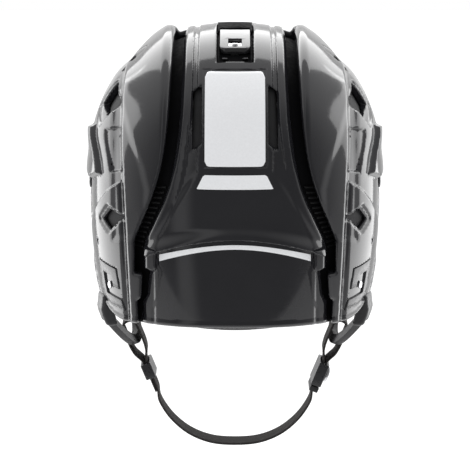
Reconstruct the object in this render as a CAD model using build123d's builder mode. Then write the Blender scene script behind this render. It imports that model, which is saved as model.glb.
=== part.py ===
from build123d import *
from functools import lru_cache
from math import copysign, cos, pi, radians, sin
import os

# Ice hockey helmet, medium, seen here as it is built: a front shell, a rear shell that slides back on it for
# size, a latch on the crown that locks the slide, foam liners, clear ear guards and a chin strap on ear loops.
# Millimetres, +Z up, the face opening towards -Y, the back towards +Y, X = 0 the middle of the head.
# The origin is the middle of the head opening, level with the rear shell's lower edge.
# Left and right are the wearer's: left is +X.

# Head form that both shells follow
HALF_WIDTH = 103.5
FRONT_REACH = 132.0
REAR_REACH = 124.0
WIDEST_LEVEL = 66.0
CROWN_LEVEL = 182.0
FORM_FLOOR = -26.0
ROUNDNESS = 2.4
DOME = 2.35
SECTION_POINTS = 28
floor_taper_share = 0.097
low_level_shares = (0.0, 0.37, 0.73)
dome_degrees = (0, 14, 28, 42, 55, 66, 75, 82, 86.5)

# Shells
SHELL_WALL = 3.0
REAR_WALL = 3.0
FLANGE_DEPTH = 4.6
FLANGE_WALL = 2.2
FLANGE_OVER = 5.0
FLANGE_UNDER = 8.0
WING_RISE = 4.0
WING_MARGIN = 1.5
BUMP_RISE = 4.0
VENT_B_DEPTH = 1.6
SEAM = 1.5
REAR_FRONT_EDGE = -30.0
FLANGE_FRONT_EDGE = -44.0
TONGUE_HALF_WIDTH = 22.0
TONGUE_END = 62.0

# Rear shell details
PANEL_RISE = 1.2
PANEL_HALF_WIDTH = 25.0
PANEL_FOOT = 108.0
RAIL_RISE = 1.8
RAIL_INNER = 30.0
RAIL_OUTER = 35.2
RAIL_FOOT = 112.0
LEDGE_RISE = 5.0
LUG_RISE = 3.0
SPINE_VENT_INNER = 23.0
SPINE_VENT_OUTER = 28.2
SPINE_VENT_TOP = 157.0
SPINE_VENT_FOOT = 120.5
SPINE_VENT_SLANT = 3.0
SIDE_STEP_DEPTH = 1.2

# Clearances
FIT_GAP = 0.3
PIN_GAP = 0.05
GUARD_GAP = 1.5
DECAL_GAP = 0.3
LATCH_GAP = 1.5

# Liners and pads
LINER_DEPTH = 20.0
LINER_RIM_RISE = 3.0
LINER_JOINT = -46.0
LINER_CHANNEL = 3.6
PAD_WALL = 6.0
CRADLE_WALL = 3.0
CRADLE_HALF_WIDTH = 47.0
CRADLE_TOP = 22.0
CRADLE_DROP = 7.0
CRADLE_END_DROP = 3.0
OCCIPITAL_PAD_HALF = 44.0
OCCIPITAL_PAD_FOOT = 8.0
OCCIPITAL_PAD_TOP = 48.0
FOREHEAD_PAD_HALF = 66.0
FOREHEAD_PAD_FOOT = 84.0
FOREHEAD_PAD_TOP = 112.0
CROWN_PAD_HALF = 32.0

# Latch
LATCH_HALF_WIDTH = 12.5
LATCH_FRONT = -20.0
LATCH_REAR = 66.0
TRAY_WALL = 1.5
TRAY_CAVITY = 2.4
TRAY_DEPTH = 3.9
HOUSING_RISE = 2.6
HOUSING_END = 8.0
EAR_END = 18.0
HINGE_PLACE = 13.0
HINGE_RISE = 0.2
HINGE_PIN_RADIUS = 1.0
HINGE_BARREL_RADIUS = 2.0
LEVER_RISE = 2.4
LEVER_DEPTH = 1.4
LEVER_END = 52.0
LEVER_CORNER = 4.0
LEVER_EDGE_LEAN = 10.0
LEVER_WINDOW_HALF = 4.8
LEVER_WINDOW_FRONT = 36.0
LEVER_WINDOW_REAR = 49.0
CATCH_FRONT = 43.0
CATCH_RISE = 1.8
CATCH_TOOTH_HALF = 2.0
CATCH_TOOTH_LENGTH = 2.0
CATCH_TOOTH_DEPTH = 2.8
KNOB_RADIUS = 2.3
KNOB_RISE = 3.0
RACK_HALF_WIDTH = 3.0
RACK_FRONT = 33.0
RACK_REAR = 51.0
RACK_TOP = 3.1
RACK_BOTTOM = 4.4
RACK_PITCH = 2.0
RACK_NOTCH = 0.8
RACK_NOTCH_DEPTH = 0.8
TRAY_WINDOW_HALF = 3.5
TRAY_WINDOW_FRONT = 20.0
TRAY_WINDOW_REAR = 52.0
TRAY_SCREW_PLACE = 59.0
TRAY_SCREW_SPREAD = 7.0
TRAY_SCREW_RADIUS = 1.9
TRAY_HOLE_RADIUS = 1.15
TRAY_SCREW_HEAD = 1.0

# Screws through the shell
SCREW_HEAD_RADIUS = 5.2
SCREW_HEAD_HEIGHT = 1.8
SCREW_SHANK_RADIUS = 2.2
SCREW_HOLE_RADIUS = 2.5
NUT_RADIUS = 6.0
NUT_HEIGHT = 1.2
NUT_GAP = 0.9
NUT_POCKET_RADIUS = 8.0
NUT_POCKET_DEPTH = 9.5

# Ear guards
GUARD_TOP_DEPTH = 0.4
GUARD_WALL = 2.0
GUARD_TAB_HALF = 8.0
GUARD_TAB_ROOT = 42.0
GUARD_TAB_RISE = 8.5
GUARD_SLOT_LENGTH = 13.0
GUARD_SLOT_WIDTH = 4.0
GUARD_SLOT_PITCH = 8.0
GUARD_SLOTS = 3

# Cage hooks and their studs
HOOK_RISE = 1.8
HOOK_DEPTH = 0.7
HOOK_RECESS = 1.0
HOOK_FRONT = 60.0
HOOK_REAR = 86.0
HOOK_FOOT = 0.0
HOOK_TOP = 29.0
HOOK_BAR = 6.5
STUD_PLACE = 74.0
STUD_LEVEL = 14.5
STUD_RADIUS = 2.6
STUD_NECK_RADIUS = 1.8
STUD_HEIGHT = 3.2
STUD_CAP = 1.4

# Cage bracket holes in the forehead
CAGE_HOLE_SPREAD = 46.0
CAGE_HOLE_LEVEL = 94.0
CAGE_HOLE_RADIUS = 2.6
CAGE_BOSS_RADIUS = 6.5
CAGE_BOSS_LENGTH = 10.0
CAGE_BOSS_PROUD = 1.9
CAGE_NUT_BORE = 2.8
CAGE_NUT_RADIUS = 6.0
CAGE_NUT_HEIGHT = 1.5
CAGE_POCKET_RADIUS = 8.0
CAGE_POCKET_LENGTH = 19.0

# Ear loops and chin strap
LOOP_WIDTH = 7.0
LOOP_WALL = 5.0
LOOP_BOTTOM = (73.0, 10.0, -46.0)
CLIP_PLACE = 52.0
CLIP_LEVEL = -14.0
CLIP_HALF_WIDTH = 8.0
CLIP_RISE = 7.5
CLIP_TOP = 8.0
CLIP_FOOT = -21.0
CLIP_JAW_TOP = -7.0
ANCHOR_PLACE = -58.0
ANCHOR_LEVEL = 43.0
ANCHOR_HALF = 7.5
ANCHOR_STAND = 5.0
ANCHOR_RISE = 9.0
WEBBING_WIDTH = 16.0
WEBBING_WALL = 1.6
RING_LENGTH = 30.0
RING_WIDTH = 9.2
STRAP_LEAN = 21.7
STEM_LENGTH = 26.5
SLIDER_PLACE = 15.0
SLIDER_LENGTH = 12.0
SLIDER_WALL = 2.0
SNAP_LENGTH = 18.0
SNAP_DISC_RADIUS = 6.5
SNAP_DISC_HEIGHT = 2.6
KEEPER_PLACE = 22.0
KEEPER_LENGTH = 4.0
KEEPER_WALL = 1.4
# Half of the strap's hanging curve, from the middle outwards, as (x, z)
STRAP_CURVE = ((0.0, -127.0), (18.0, -125.3), (34.0, -118.5), (47.0, -107.0), (55.5, -93.5))

# White panels
DECAL_WALL = 0.4
LABEL_HALF_WIDTH = 20.5
LABEL_TOP = 166.0
LABEL_FOOT = 110.0
LABEL_CORNER = 3.0
STRIPE_TOP = 104.3
STRIPE_FOOT = 95.2
STRIPE_TOP_HALF = 21.0
STRIPE_FOOT_HALF = 25.6

# Past the whole helmet, for every cut
OVERRUN = 260.0

# Rear view: (share of half width, share of crown level)
wing_edge_curve_shares = ((0.415, 0.923), (0.441, 0.720), (0.502, 0.538), (0.657, 0.305))
wing_edge_step_shares = ((0.663, 0.175), (0.608, 0.175), (0.620, 0.077), (0.646, 0.060), (0.641, -0.160))
spine_edge_curve_shares = ((0.349, 0.923), (0.369, 0.720), (0.433, 0.519), (0.584, 0.315))
spine_edge_step_shares = ((0.598, 0.280), (0.598, 0.198), (0.564, 0.187), (0.585, 0.088), (0.618, 0.049),
                          (0.628, -0.160))
wing_ridge_curve_shares = ((0.763, 0.923), (0.763, 0.659), (0.749, 0.505), (0.732, 0.286))
wing_ridge_step_shares = ((0.708, -0.160),)
ledge_top_shares = ((-0.590, 0.305), (0.0, 0.387), (0.590, 0.305))
ledge_foot_shares = ((0.590, 0.269), (0.0, 0.330), (-0.590, 0.269))
lug_shares = ((0.517, 0.283), (0.602, 0.283), (0.602, 0.198), (0.548, 0.192), (0.517, 0.203))
side_step_shares = ((0.530, 0.192), (0.620, 0.192), (0.640, -0.160), (0.530, -0.160))
lower_stripe_top_shares = ((-0.496, 0.262), (0.0, 0.316), (0.496, 0.262))
lower_stripe_foot_shares = ((0.496, 0.234), (0.0, 0.299), (-0.496, 0.234))

# Top view: (share of half width, share of front or rear reach)
wing_front_shares = ((0.386, -0.242), (0.773, 0.242), (0.773, 1.300), (0.386, 1.300))
front_vent_shares = ((0.155, -0.470), (0.261, -0.439), (0.348, -0.697), (0.261, -0.742))
shoulder_vent_shares = ((0.483, -0.303), (0.580, -0.258), (0.657, -0.470), (0.560, -0.530))
oval_vent_share = (0.690, 0.070)
OVAL_VENT_LENGTH = 24.0
OVAL_VENT_WIDTH = 11.0
OVAL_VENT_TURN = 122.0

# Side view: (share of front or rear reach, share of crown level)
rim_shares = ((-1.400, 0.462), (-0.909, 0.434), (-0.727, 0.385), (-0.576, 0.264), (-0.462, 0.209),
              (-0.364, 0.253), (-0.273, 0.335), (-0.045, 0.368), (0.161, 0.319), (0.266, 0.176),
              (0.323, 0.022), (0.468, -0.027), (0.645, -0.052), (0.823, -0.033), (1.300, 0.014))
vent_a_shares = ((0.097, 0.714), (0.177, 0.808), (0.435, 0.769), (0.355, 0.681))
vent_b_shares = ((0.452, 0.665), (0.565, 0.692), (0.710, 0.549), (0.613, 0.527))
vent_c_shares = ((0.556, 0.335), (0.645, 0.390), (0.726, 0.371), (0.645, 0.308))
bump_shares = ((-0.318, 0.571), (0.290, 0.659), (0.516, 0.505), (0.323, 0.458), (-0.288, 0.478))
guard_shares = ((-0.330, 0.380), (0.323, 0.380), (0.290, 0.011), (0.210, -0.038), (0.048, -0.044),
                (-0.091, 0.044), (-0.227, 0.165), (-0.310, 0.262))
guard_slot_share = (0.040, 0.155)
temple_pad_shares = ((-0.300, 0.420), (0.280, 0.420), (0.280, 0.600), (-0.300, 0.600))
guard_screw_shares = ((-0.215, 0.420), (0.105, 0.410))
side_screw_share = (0.478, 0.235)

# Ear loop: (share of the run from clip to anchor, share of the drop to its lowest place)
loop_start_share = (0.25, 0.50)
loop_rise_shares = ((0.36, 1.03), (0.62, 0.80), (0.86, 0.36))


def signed_power(value, power):
    return copysign(abs(value) ** power, value)


def reach(y_sign):
    return REAR_REACH if y_sign > 0 else FRONT_REACH


def level_size(level, inset):
    """Share of the full width that the form keeps at a level."""
    if level > WIDEST_LEVEL:
        rise = (level - WIDEST_LEVEL) / (CROWN_LEVEL - inset - WIDEST_LEVEL)
        return (1 - rise ** DOME) ** (1 / DOME)
    drop = (WIDEST_LEVEL - level) / (WIDEST_LEVEL - FORM_FLOOR)
    return 1 - floor_taper_share * drop ** 2


def level_points(level, inset):
    size = level_size(level, inset)
    points = []
    for step in range(SECTION_POINTS):
        turn = 2 * pi * step / SECTION_POINTS
        x = (HALF_WIDTH - inset) * size * signed_power(cos(turn), 2 / ROUNDNESS)
        y = (reach(sin(turn)) - inset) * size * signed_power(sin(turn), 2 / ROUNDNESS)
        points.append((x, y))
    return points


@lru_cache(maxsize=None)
def form(inset):
    """The head form, drawn in by an inset, or swelled by a negative one."""
    crown = CROWN_LEVEL - inset
    levels = [FORM_FLOOR + share * (WIDEST_LEVEL - FORM_FLOOR) for share in low_level_shares]
    for degrees in dome_degrees:
        levels.append(WIDEST_LEVEL + (crown - WIDEST_LEVEL) * sin(radians(degrees)) ** (2 / DOME))
    sections = []
    with BuildPart() as solid:
        for level in levels:
            with BuildSketch(Plane.XY.offset(level)) as section:
                with BuildLine():
                    Spline(level_points(level, inset), periodic=True)
                make_face()
            sections.append(section.sketch)
        loft([*sections, Vertex(0, 0, crown)])
    return solid.part


@lru_cache(maxsize=None)
def layer(outer, inner):
    """The skin between two insets of the head form."""
    with BuildPart() as skin:
        add(form(outer))
        add(form(inner), mode=Mode.SUBTRACT)
    return skin.part


def rear_place(share):
    return (share[0] * HALF_WIDTH, share[1] * CROWN_LEVEL)


def side_place(share):
    return (share[0] * reach(share[0]), share[1] * CROWN_LEVEL)


def top_place(share):
    return (share[0] * HALF_WIDTH, share[1] * reach(share[1]))


def across(points):
    """A cut through both sides of the helmet, from its (y, z) outline."""
    with BuildPart() as prism:
        with BuildSketch(Plane.YZ):
            with BuildLine():
                Polyline(*points, close=True)
            make_face()
        extrude(amount=OVERRUN, both=True)
    return prism.part


def rearward(points, mirrored=False):
    """A cut from the mid plane back, from its (x, z) outline."""
    with BuildPart() as prism:
        with BuildSketch(Plane.XZ):
            with BuildLine():
                Polyline(*points, close=True)
            make_face()
            if mirrored:
                mirror(about=Plane.YZ)
        extrude(amount=-OVERRUN)
    return prism.part


def upright(points, mirrored=False):
    """A cut from the widest level up, from its (x, y) outline."""
    with BuildPart() as prism:
        with BuildSketch(Plane.XY):
            with BuildLine():
                Polyline(*points, close=True)
            make_face()
            if mirrored:
                mirror(about=Plane.YZ)
        extrude(amount=OVERRUN)
    return prism.part


def block(x_low, x_high, y_low, y_high, z_low, z_high):
    with BuildPart() as box:
        with BuildSketch(Plane.XY.offset(z_low)):
            with Locations(((x_low + x_high) / 2, (y_low + y_high) / 2)):
                Rectangle(x_high - x_low, y_high - y_low)
        extrude(amount=z_high - z_low)
    return box.part


def pair_of_blocks(inner, outer, *limits):
    """A block on each side of the mid plane."""
    return block(inner, outer, *limits) + block(-outer, -inner, *limits)


def window(curve_shares, step_shares, spread, start):
    """A symmetric cut from y = start back, inside a rear view edge moved out by spread."""
    curve = [(x + spread, z) for x, z in map(rear_place, curve_shares)]
    steps = [(x + spread, z) for x, z in map(rear_place, step_shares)]
    top = (curve[0][0], CROWN_LEVEL + OVERRUN)
    foot = steps[-1]
    with BuildPart() as prism:
        with BuildSketch(Plane.XZ.offset(-start)):
            with BuildLine():
                Line(top, curve[0])
                Spline(*curve)
                Polyline(curve[-1], *steps)
                mirror(about=Plane.YZ)
                Line(top, (-top[0], top[1]))
                Line(foot, (-foot[0], foot[1]))
            make_face()
        extrude(amount=-OVERRUN)
    return prism.part


def arched_band(top_shares, foot_shares):
    """A cut between two rear view arcs."""
    top = [rear_place(share) for share in top_shares]
    foot = [rear_place(share) for share in foot_shares]
    with BuildPart() as prism:
        with BuildSketch(Plane.XZ):
            with BuildLine():
                ThreePointArc(*top)
                Line(top[-1], foot[0])
                ThreePointArc(*foot)
                Line(foot[-1], top[0])
            make_face()
        extrude(amount=-OVERRUN)
    return prism.part


def below_rim(rise):
    """Everything below the helmet's lower edge, lifted by rise."""
    edge = [(y, z + rise) for y, z in map(side_place, rim_shares)]
    with BuildPart() as prism:
        with BuildSketch(Plane.YZ):
            with BuildLine():
                Spline(*edge)
                Polyline(edge[-1], (edge[-1][0], -OVERRUN), (edge[0][0], -OVERRUN), edge[0])
            make_face()
        extrude(amount=OVERRUN, both=True)
    return prism.part


def seat(y, z, inset=0.0):
    """A plane on the left side of the form at (y, z), facing out."""
    size = level_size(z, inset)
    width = (HALF_WIDTH - inset) * size
    length = (reach(y) - inset) * size
    along = abs(y) / length
    outward = (1 - along ** ROUNDNESS) ** (1 / ROUNDNESS)
    lean = (outward ** (ROUNDNESS - 1) / width, copysign(along ** (ROUNDNESS - 1) / length, y), 0)
    return Plane(origin=(outward * width, y, z), x_dir=(-lean[1], lean[0], 0), z_dir=lean)


def crown_height(y, inset=0.0):
    """Height of the form above the mid plane at y."""
    run = (abs(y) / (reach(y) - inset)) ** DOME
    return WIDEST_LEVEL + (CROWN_LEVEL - inset - WIDEST_LEVEL) * (1 - run) ** (1 / DOME)


def other_side(part):
    return part.mirror(Plane.YZ)


os.makedirs("parts", exist_ok=True)


def save(part, name):
    part.label = name
    export_step(part, f"parts/{name}.step")


# Cuts that several pieces share
wing_window = window(wing_edge_curve_shares, wing_edge_step_shares, 0, REAR_FRONT_EDGE - SEAM)
spine_window = window(spine_edge_curve_shares, spine_edge_step_shares, 0, REAR_FRONT_EDGE)
flange_window = window(wing_edge_curve_shares, wing_edge_step_shares, FLANGE_OVER, FLANGE_FRONT_EDGE)
flange_opening = window(spine_edge_curve_shares, spine_edge_step_shares, -FLANGE_UNDER,
                        REAR_FRONT_EDGE + FLANGE_UNDER)
shell_rim = below_rim(0)
liner_rim = below_rim(LINER_RIM_RISE)
guard_tab_places = [side_place(share) for share in guard_screw_shares]
guard_seats = [seat(*place) for place in guard_tab_places]
screw_seats = [*guard_seats, seat(*side_place(side_screw_share))]
flange_back = FLANGE_DEPTH + FLANGE_WALL

# Front shell: raised rear wings and side bumps, with a flange and a tongue under the rear shell
with BuildPart() as raised_wings:
    add(form(-WING_RISE))
    add(window(wing_ridge_curve_shares, wing_ridge_step_shares, 0, -OVERRUN), mode=Mode.INTERSECT)
    add(window(wing_edge_curve_shares, wing_edge_step_shares, WING_MARGIN, -OVERRUN), mode=Mode.SUBTRACT)
    add(upright([top_place(share) for share in wing_front_shares], mirrored=True)
        + block(-OVERRUN, OVERRUN, 0, OVERRUN, -OVERRUN, WIDEST_LEVEL), mode=Mode.INTERSECT)

with BuildPart() as raised_bumps:
    add(form(-BUMP_RISE))
    add(across([side_place(share) for share in bump_shares]), mode=Mode.INTERSECT)
    add(window(wing_ridge_curve_shares, wing_ridge_step_shares, WING_RISE, -OVERRUN), mode=Mode.SUBTRACT)

with BuildPart() as window_recess:
    add(wing_window)
    add(form(FLANGE_DEPTH), mode=Mode.SUBTRACT)

with BuildPart() as spine_opening:
    add(flange_opening)
    add(block(-TONGUE_HALF_WIDTH, TONGUE_HALF_WIDTH, REAR_FRONT_EDGE, TONGUE_END, WIDEST_LEVEL, OVERRUN),
        mode=Mode.SUBTRACT)

with BuildPart() as inner_relief:
    add(form(SHELL_WALL))
    add(flange_window, mode=Mode.SUBTRACT)

with BuildPart() as vent_b_recess:
    add(across([side_place(share) for share in vent_b_shares]))
    add(form(VENT_B_DEPTH), mode=Mode.SUBTRACT)

with BuildPart() as hook_recess:
    add(across([(HOOK_FRONT - FIT_GAP, HOOK_FOOT - FIT_GAP), (HOOK_REAR + FIT_GAP, HOOK_FOOT - FIT_GAP),
                (HOOK_REAR + FIT_GAP, HOOK_TOP + FIT_GAP), (HOOK_FRONT - FIT_GAP, HOOK_TOP + FIT_GAP)]))
    add(form(HOOK_RECESS), mode=Mode.SUBTRACT)

with BuildPart() as screw_holes:
    for place in screw_seats:
        with BuildSketch(place.offset(SCREW_HEAD_HEIGHT)):
            Circle(SCREW_HOLE_RADIUS)
        extrude(amount=-NUT_POCKET_DEPTH)
    mirror(about=Plane.YZ)

cage_seat_y = -level_size(CAGE_HOLE_LEVEL, 0) * FRONT_REACH * (
    1 - (CAGE_HOLE_SPREAD / HALF_WIDTH / level_size(CAGE_HOLE_LEVEL, 0)) ** ROUNDNESS) ** (1 / ROUNDNESS)
cage_front_plane = Plane.XZ.offset(-cage_seat_y + CAGE_BOSS_PROUD)
cage_places = [(-CAGE_HOLE_SPREAD, CAGE_HOLE_LEVEL), (CAGE_HOLE_SPREAD, CAGE_HOLE_LEVEL)]
oval_vent_place = top_place(oval_vent_share)

with BuildPart() as front_shell:
    add(form(0))
    add(raised_wings.part)
    add(raised_bumps.part)
    add(form(flange_back), mode=Mode.SUBTRACT)
    add(window_recess.part, mode=Mode.SUBTRACT)
    add(spine_opening.part, mode=Mode.SUBTRACT)
    add(inner_relief.part, mode=Mode.SUBTRACT)
    add(shell_rim, mode=Mode.SUBTRACT)
    for shares in (vent_a_shares, vent_c_shares):
        add(across([side_place(share) for share in shares]), mode=Mode.SUBTRACT)
    add(vent_b_recess.part, mode=Mode.SUBTRACT)
    add(hook_recess.part, mode=Mode.SUBTRACT)
    add(screw_holes.part, mode=Mode.SUBTRACT)
    for shares in (front_vent_shares, shoulder_vent_shares):
        add(upright([top_place(share) for share in shares], mirrored=True), mode=Mode.SUBTRACT)
    with BuildSketch(Plane.XY.offset(WIDEST_LEVEL)):
        with Locations(oval_vent_place):
            SlotOverall(OVAL_VENT_LENGTH, OVAL_VENT_WIDTH, rotation=OVAL_VENT_TURN)
        mirror(about=Plane.YZ)
    extrude(amount=OVERRUN, mode=Mode.SUBTRACT)
    with BuildSketch(cage_front_plane):
        with Locations(*cage_places):
            Circle(CAGE_BOSS_RADIUS)
    extrude(amount=-CAGE_BOSS_LENGTH)
    with BuildSketch(cage_front_plane):
        with Locations(*cage_places):
            Circle(CAGE_HOLE_RADIUS)
    extrude(amount=-CAGE_BOSS_LENGTH - FIT_GAP, mode=Mode.SUBTRACT)
save(front_shell.part, "front_shell")

# Rear shell: a raised centre panel and rails on the spine, an arched ledge, lugs and a lower wall
with BuildPart() as raised_rear:
    add(form(-LEDGE_RISE))
    add(arched_band(ledge_top_shares, ledge_foot_shares), mode=Mode.INTERSECT)
    add(form(-LUG_RISE) & rearward([rear_place(share) for share in lug_shares], mirrored=True))
    add(form(-PANEL_RISE) & block(-PANEL_HALF_WIDTH, PANEL_HALF_WIDTH, REAR_FRONT_EDGE, OVERRUN,
                                  PANEL_FOOT, OVERRUN))
    add(form(-RAIL_RISE) & pair_of_blocks(RAIL_INNER, RAIL_OUTER, REAR_FRONT_EDGE, OVERRUN,
                                          RAIL_FOOT, OVERRUN))

spine_vent = [(SPINE_VENT_INNER, SPINE_VENT_TOP), (SPINE_VENT_OUTER, SPINE_VENT_TOP - SPINE_VENT_SLANT),
              (SPINE_VENT_OUTER, SPINE_VENT_FOOT), (SPINE_VENT_INNER, SPINE_VENT_FOOT + SPINE_VENT_SLANT)]

with BuildPart() as rear_shell:
    add(form(0))
    add(raised_rear.part)
    add(form(REAR_WALL), mode=Mode.SUBTRACT)
    add(spine_window, mode=Mode.INTERSECT)
    add(rearward([rear_place(share) for share in side_step_shares], mirrored=True)
        - form(SIDE_STEP_DEPTH), mode=Mode.SUBTRACT)
    add(shell_rim, mode=Mode.SUBTRACT)
    add(rearward(spine_vent, mirrored=True), mode=Mode.SUBTRACT)
    add(block(-LATCH_HALF_WIDTH, LATCH_HALF_WIDTH, LATCH_FRONT, LATCH_REAR, WIDEST_LEVEL, OVERRUN),
        mode=Mode.SUBTRACT)
save(rear_shell.part, "rear_shell")

# Foam liners: front, crown and sides stay with the front shell, the rear one slides
with BuildPart() as front_liner:
    add(layer(SHELL_WALL + FIT_GAP, LINER_DEPTH))
    add(block(-OVERRUN, OVERRUN, -OVERRUN, LINER_JOINT, -OVERRUN, OVERRUN), mode=Mode.INTERSECT)
    add(liner_rim, mode=Mode.SUBTRACT)
    with BuildSketch(cage_front_plane):
        with Locations(*cage_places):
            Circle(CAGE_POCKET_RADIUS)
    extrude(amount=-CAGE_POCKET_LENGTH, mode=Mode.SUBTRACT)
save(front_liner.part, "front_liner")

liner_joint_back = LINER_JOINT + FIT_GAP * 2
with BuildPart() as crown_liner:
    add(layer(flange_back + FIT_GAP, LINER_DEPTH))
    add(window(spine_edge_curve_shares, spine_edge_step_shares, -FLANGE_UNDER, liner_joint_back),
        mode=Mode.INTERSECT)
    add(block(-OVERRUN, OVERRUN, -OVERRUN, TONGUE_END, WIDEST_LEVEL, OVERRUN), mode=Mode.INTERSECT)
save(crown_liner.part, "crown_liner")

rear_liner_front = LATCH_REAR + LATCH_GAP
with BuildPart() as rear_liner:
    add(layer(REAR_WALL + FIT_GAP, LINER_DEPTH))
    add(window(spine_edge_curve_shares, spine_edge_step_shares, -FLANGE_UNDER - FIT_GAP, rear_liner_front),
        mode=Mode.INTERSECT)
    add(liner_rim, mode=Mode.SUBTRACT)
    add(block(-CRADLE_HALF_WIDTH - FIT_GAP, CRADLE_HALF_WIDTH + FIT_GAP, 0, OVERRUN, FORM_FLOOR - FIT_GAP,
              CRADLE_TOP + FIT_GAP) - form(REAR_WALL + CRADLE_WALL + FIT_GAP * 2), mode=Mode.SUBTRACT)
save(rear_liner.part, "rear_liner")

side_liner_inner = window(spine_edge_curve_shares, spine_edge_step_shares,
                          -FLANGE_UNDER + LINER_CHANNEL, liner_joint_back)
with BuildPart() as side_liner_left:
    add(layer(SHELL_WALL + FIT_GAP, LINER_DEPTH))
    add(block(0, OVERRUN, liner_joint_back, OVERRUN, -OVERRUN, OVERRUN), mode=Mode.INTERSECT)
    add(side_liner_inner, mode=Mode.SUBTRACT)
    add(window(wing_edge_curve_shares, wing_edge_step_shares, FLANGE_OVER + FIT_GAP, liner_joint_back)
        - form(flange_back + FIT_GAP), mode=Mode.SUBTRACT)
    add(liner_rim, mode=Mode.SUBTRACT)
    for place in guard_tab_places:
        add(block(WIDEST_LEVEL, OVERRUN, place[0] - GUARD_TAB_HALF - FIT_GAP, place[0] + GUARD_TAB_HALF + FIT_GAP,
                  0, place[1] + GUARD_TAB_RISE + FIT_GAP)
            - form(SHELL_WALL + GUARD_WALL + FIT_GAP * 2), mode=Mode.SUBTRACT)
    for place in screw_seats:
        with BuildSketch(place.offset(SCREW_HEAD_HEIGHT)):
            Circle(NUT_POCKET_RADIUS)
        extrude(amount=-NUT_POCKET_DEPTH - SCREW_HEAD_HEIGHT, mode=Mode.SUBTRACT)
save(side_liner_left.part, "side_liner_left")
save(other_side(side_liner_left.part), "side_liner_right")

# Occipital cradle: a thin cup whose lip shows below the rear shell
with BuildPart() as occipital_cradle:
    add(layer(REAR_WALL + FIT_GAP, REAR_WALL + FIT_GAP + CRADLE_WALL))
    with BuildSketch(Plane.XZ):
        with BuildLine():
            ThreePointArc((-CRADLE_HALF_WIDTH, -CRADLE_END_DROP), (0, -CRADLE_DROP),
                          (CRADLE_HALF_WIDTH, -CRADLE_END_DROP))
            Polyline((CRADLE_HALF_WIDTH, -CRADLE_END_DROP), (CRADLE_HALF_WIDTH, CRADLE_TOP),
                     (-CRADLE_HALF_WIDTH, CRADLE_TOP), (-CRADLE_HALF_WIDTH, -CRADLE_END_DROP))
        make_face()
    extrude(amount=-OVERRUN, mode=Mode.INTERSECT)
save(occipital_cradle.part, "occipital_cradle")

# Comfort pads on the inside of the liners
pad_front = LINER_DEPTH + FIT_GAP
with BuildPart() as occipital_pad:
    add(layer(pad_front, pad_front + PAD_WALL))
    add(block(-OCCIPITAL_PAD_HALF, OCCIPITAL_PAD_HALF, 0, OVERRUN, OCCIPITAL_PAD_FOOT, OCCIPITAL_PAD_TOP),
        mode=Mode.INTERSECT)
save(occipital_pad.part, "occipital_pad")

with BuildPart() as forehead_pad:
    add(layer(pad_front, pad_front + PAD_WALL))
    add(block(-FOREHEAD_PAD_HALF, FOREHEAD_PAD_HALF, -OVERRUN, 0, FOREHEAD_PAD_FOOT, FOREHEAD_PAD_TOP),
        mode=Mode.INTERSECT)
save(forehead_pad.part, "forehead_pad")

with BuildPart() as temple_pad_left:
    add(layer(pad_front, pad_front + PAD_WALL))
    add(across([side_place(share) for share in temple_pad_shares])
        & block(0, OVERRUN, -OVERRUN, OVERRUN, -OVERRUN, OVERRUN), mode=Mode.INTERSECT)
save(temple_pad_left.part, "temple_pad_left")
save(other_side(temple_pad_left.part), "temple_pad_right")

with BuildPart() as crown_pad:
    add(layer(pad_front, pad_front + PAD_WALL))
    add(block(-CROWN_PAD_HALF, CROWN_PAD_HALF, -CROWN_PAD_HALF, CROWN_PAD_HALF, WIDEST_LEVEL, OVERRUN),
        mode=Mode.INTERSECT)
save(crown_pad.part, "crown_pad")

# Latch: tray and housing in the rear shell, a hinged lever with its catch, and a rack on the tongue
tray_half = LATCH_HALF_WIDTH - FIT_GAP
cavity_half = tray_half - TRAY_WALL
hinge_height = crown_height(HINGE_PLACE) + HINGE_RISE
hinge_plane = Plane.YZ.offset(-tray_half)

tray_screw_places = [(-TRAY_SCREW_SPREAD, TRAY_SCREW_PLACE), (TRAY_SCREW_SPREAD, TRAY_SCREW_PLACE)]
with BuildPart() as latch_base:
    add(layer(0, TRAY_DEPTH) & block(-tray_half, tray_half, LATCH_FRONT + FIT_GAP, LATCH_REAR - FIT_GAP,
                                     WIDEST_LEVEL, OVERRUN))
    add(layer(-HOUSING_RISE, TRAY_CAVITY) & block(-tray_half, tray_half, LATCH_FRONT + FIT_GAP, EAR_END,
                                                  WIDEST_LEVEL, OVERRUN))
    add(block(-cavity_half, cavity_half, HOUSING_END, LATCH_REAR - TRAY_WALL - FIT_GAP, WIDEST_LEVEL, OVERRUN)
        - form(TRAY_CAVITY), mode=Mode.SUBTRACT)
    add(block(-TRAY_WINDOW_HALF, TRAY_WINDOW_HALF, TRAY_WINDOW_FRONT, TRAY_WINDOW_REAR, WIDEST_LEVEL, OVERRUN),
        mode=Mode.SUBTRACT)
    with BuildSketch(hinge_plane):
        with Locations((HINGE_PLACE, hinge_height)):
            Circle(HINGE_PIN_RADIUS)
    extrude(amount=2 * tray_half, mode=Mode.SUBTRACT)
    with BuildSketch(Plane.XY.offset(WIDEST_LEVEL)):
        with Locations(*tray_screw_places):
            Circle(TRAY_HOLE_RADIUS)
    extrude(amount=OVERRUN, mode=Mode.SUBTRACT)
save(latch_base.part, "latch_base")

with BuildPart() as latch_pin:
    with BuildSketch(hinge_plane):
        with Locations((HINGE_PLACE, hinge_height)):
            Circle(HINGE_PIN_RADIUS)
    extrude(amount=2 * tray_half)
save(latch_pin.part, "latch_pin")

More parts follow.
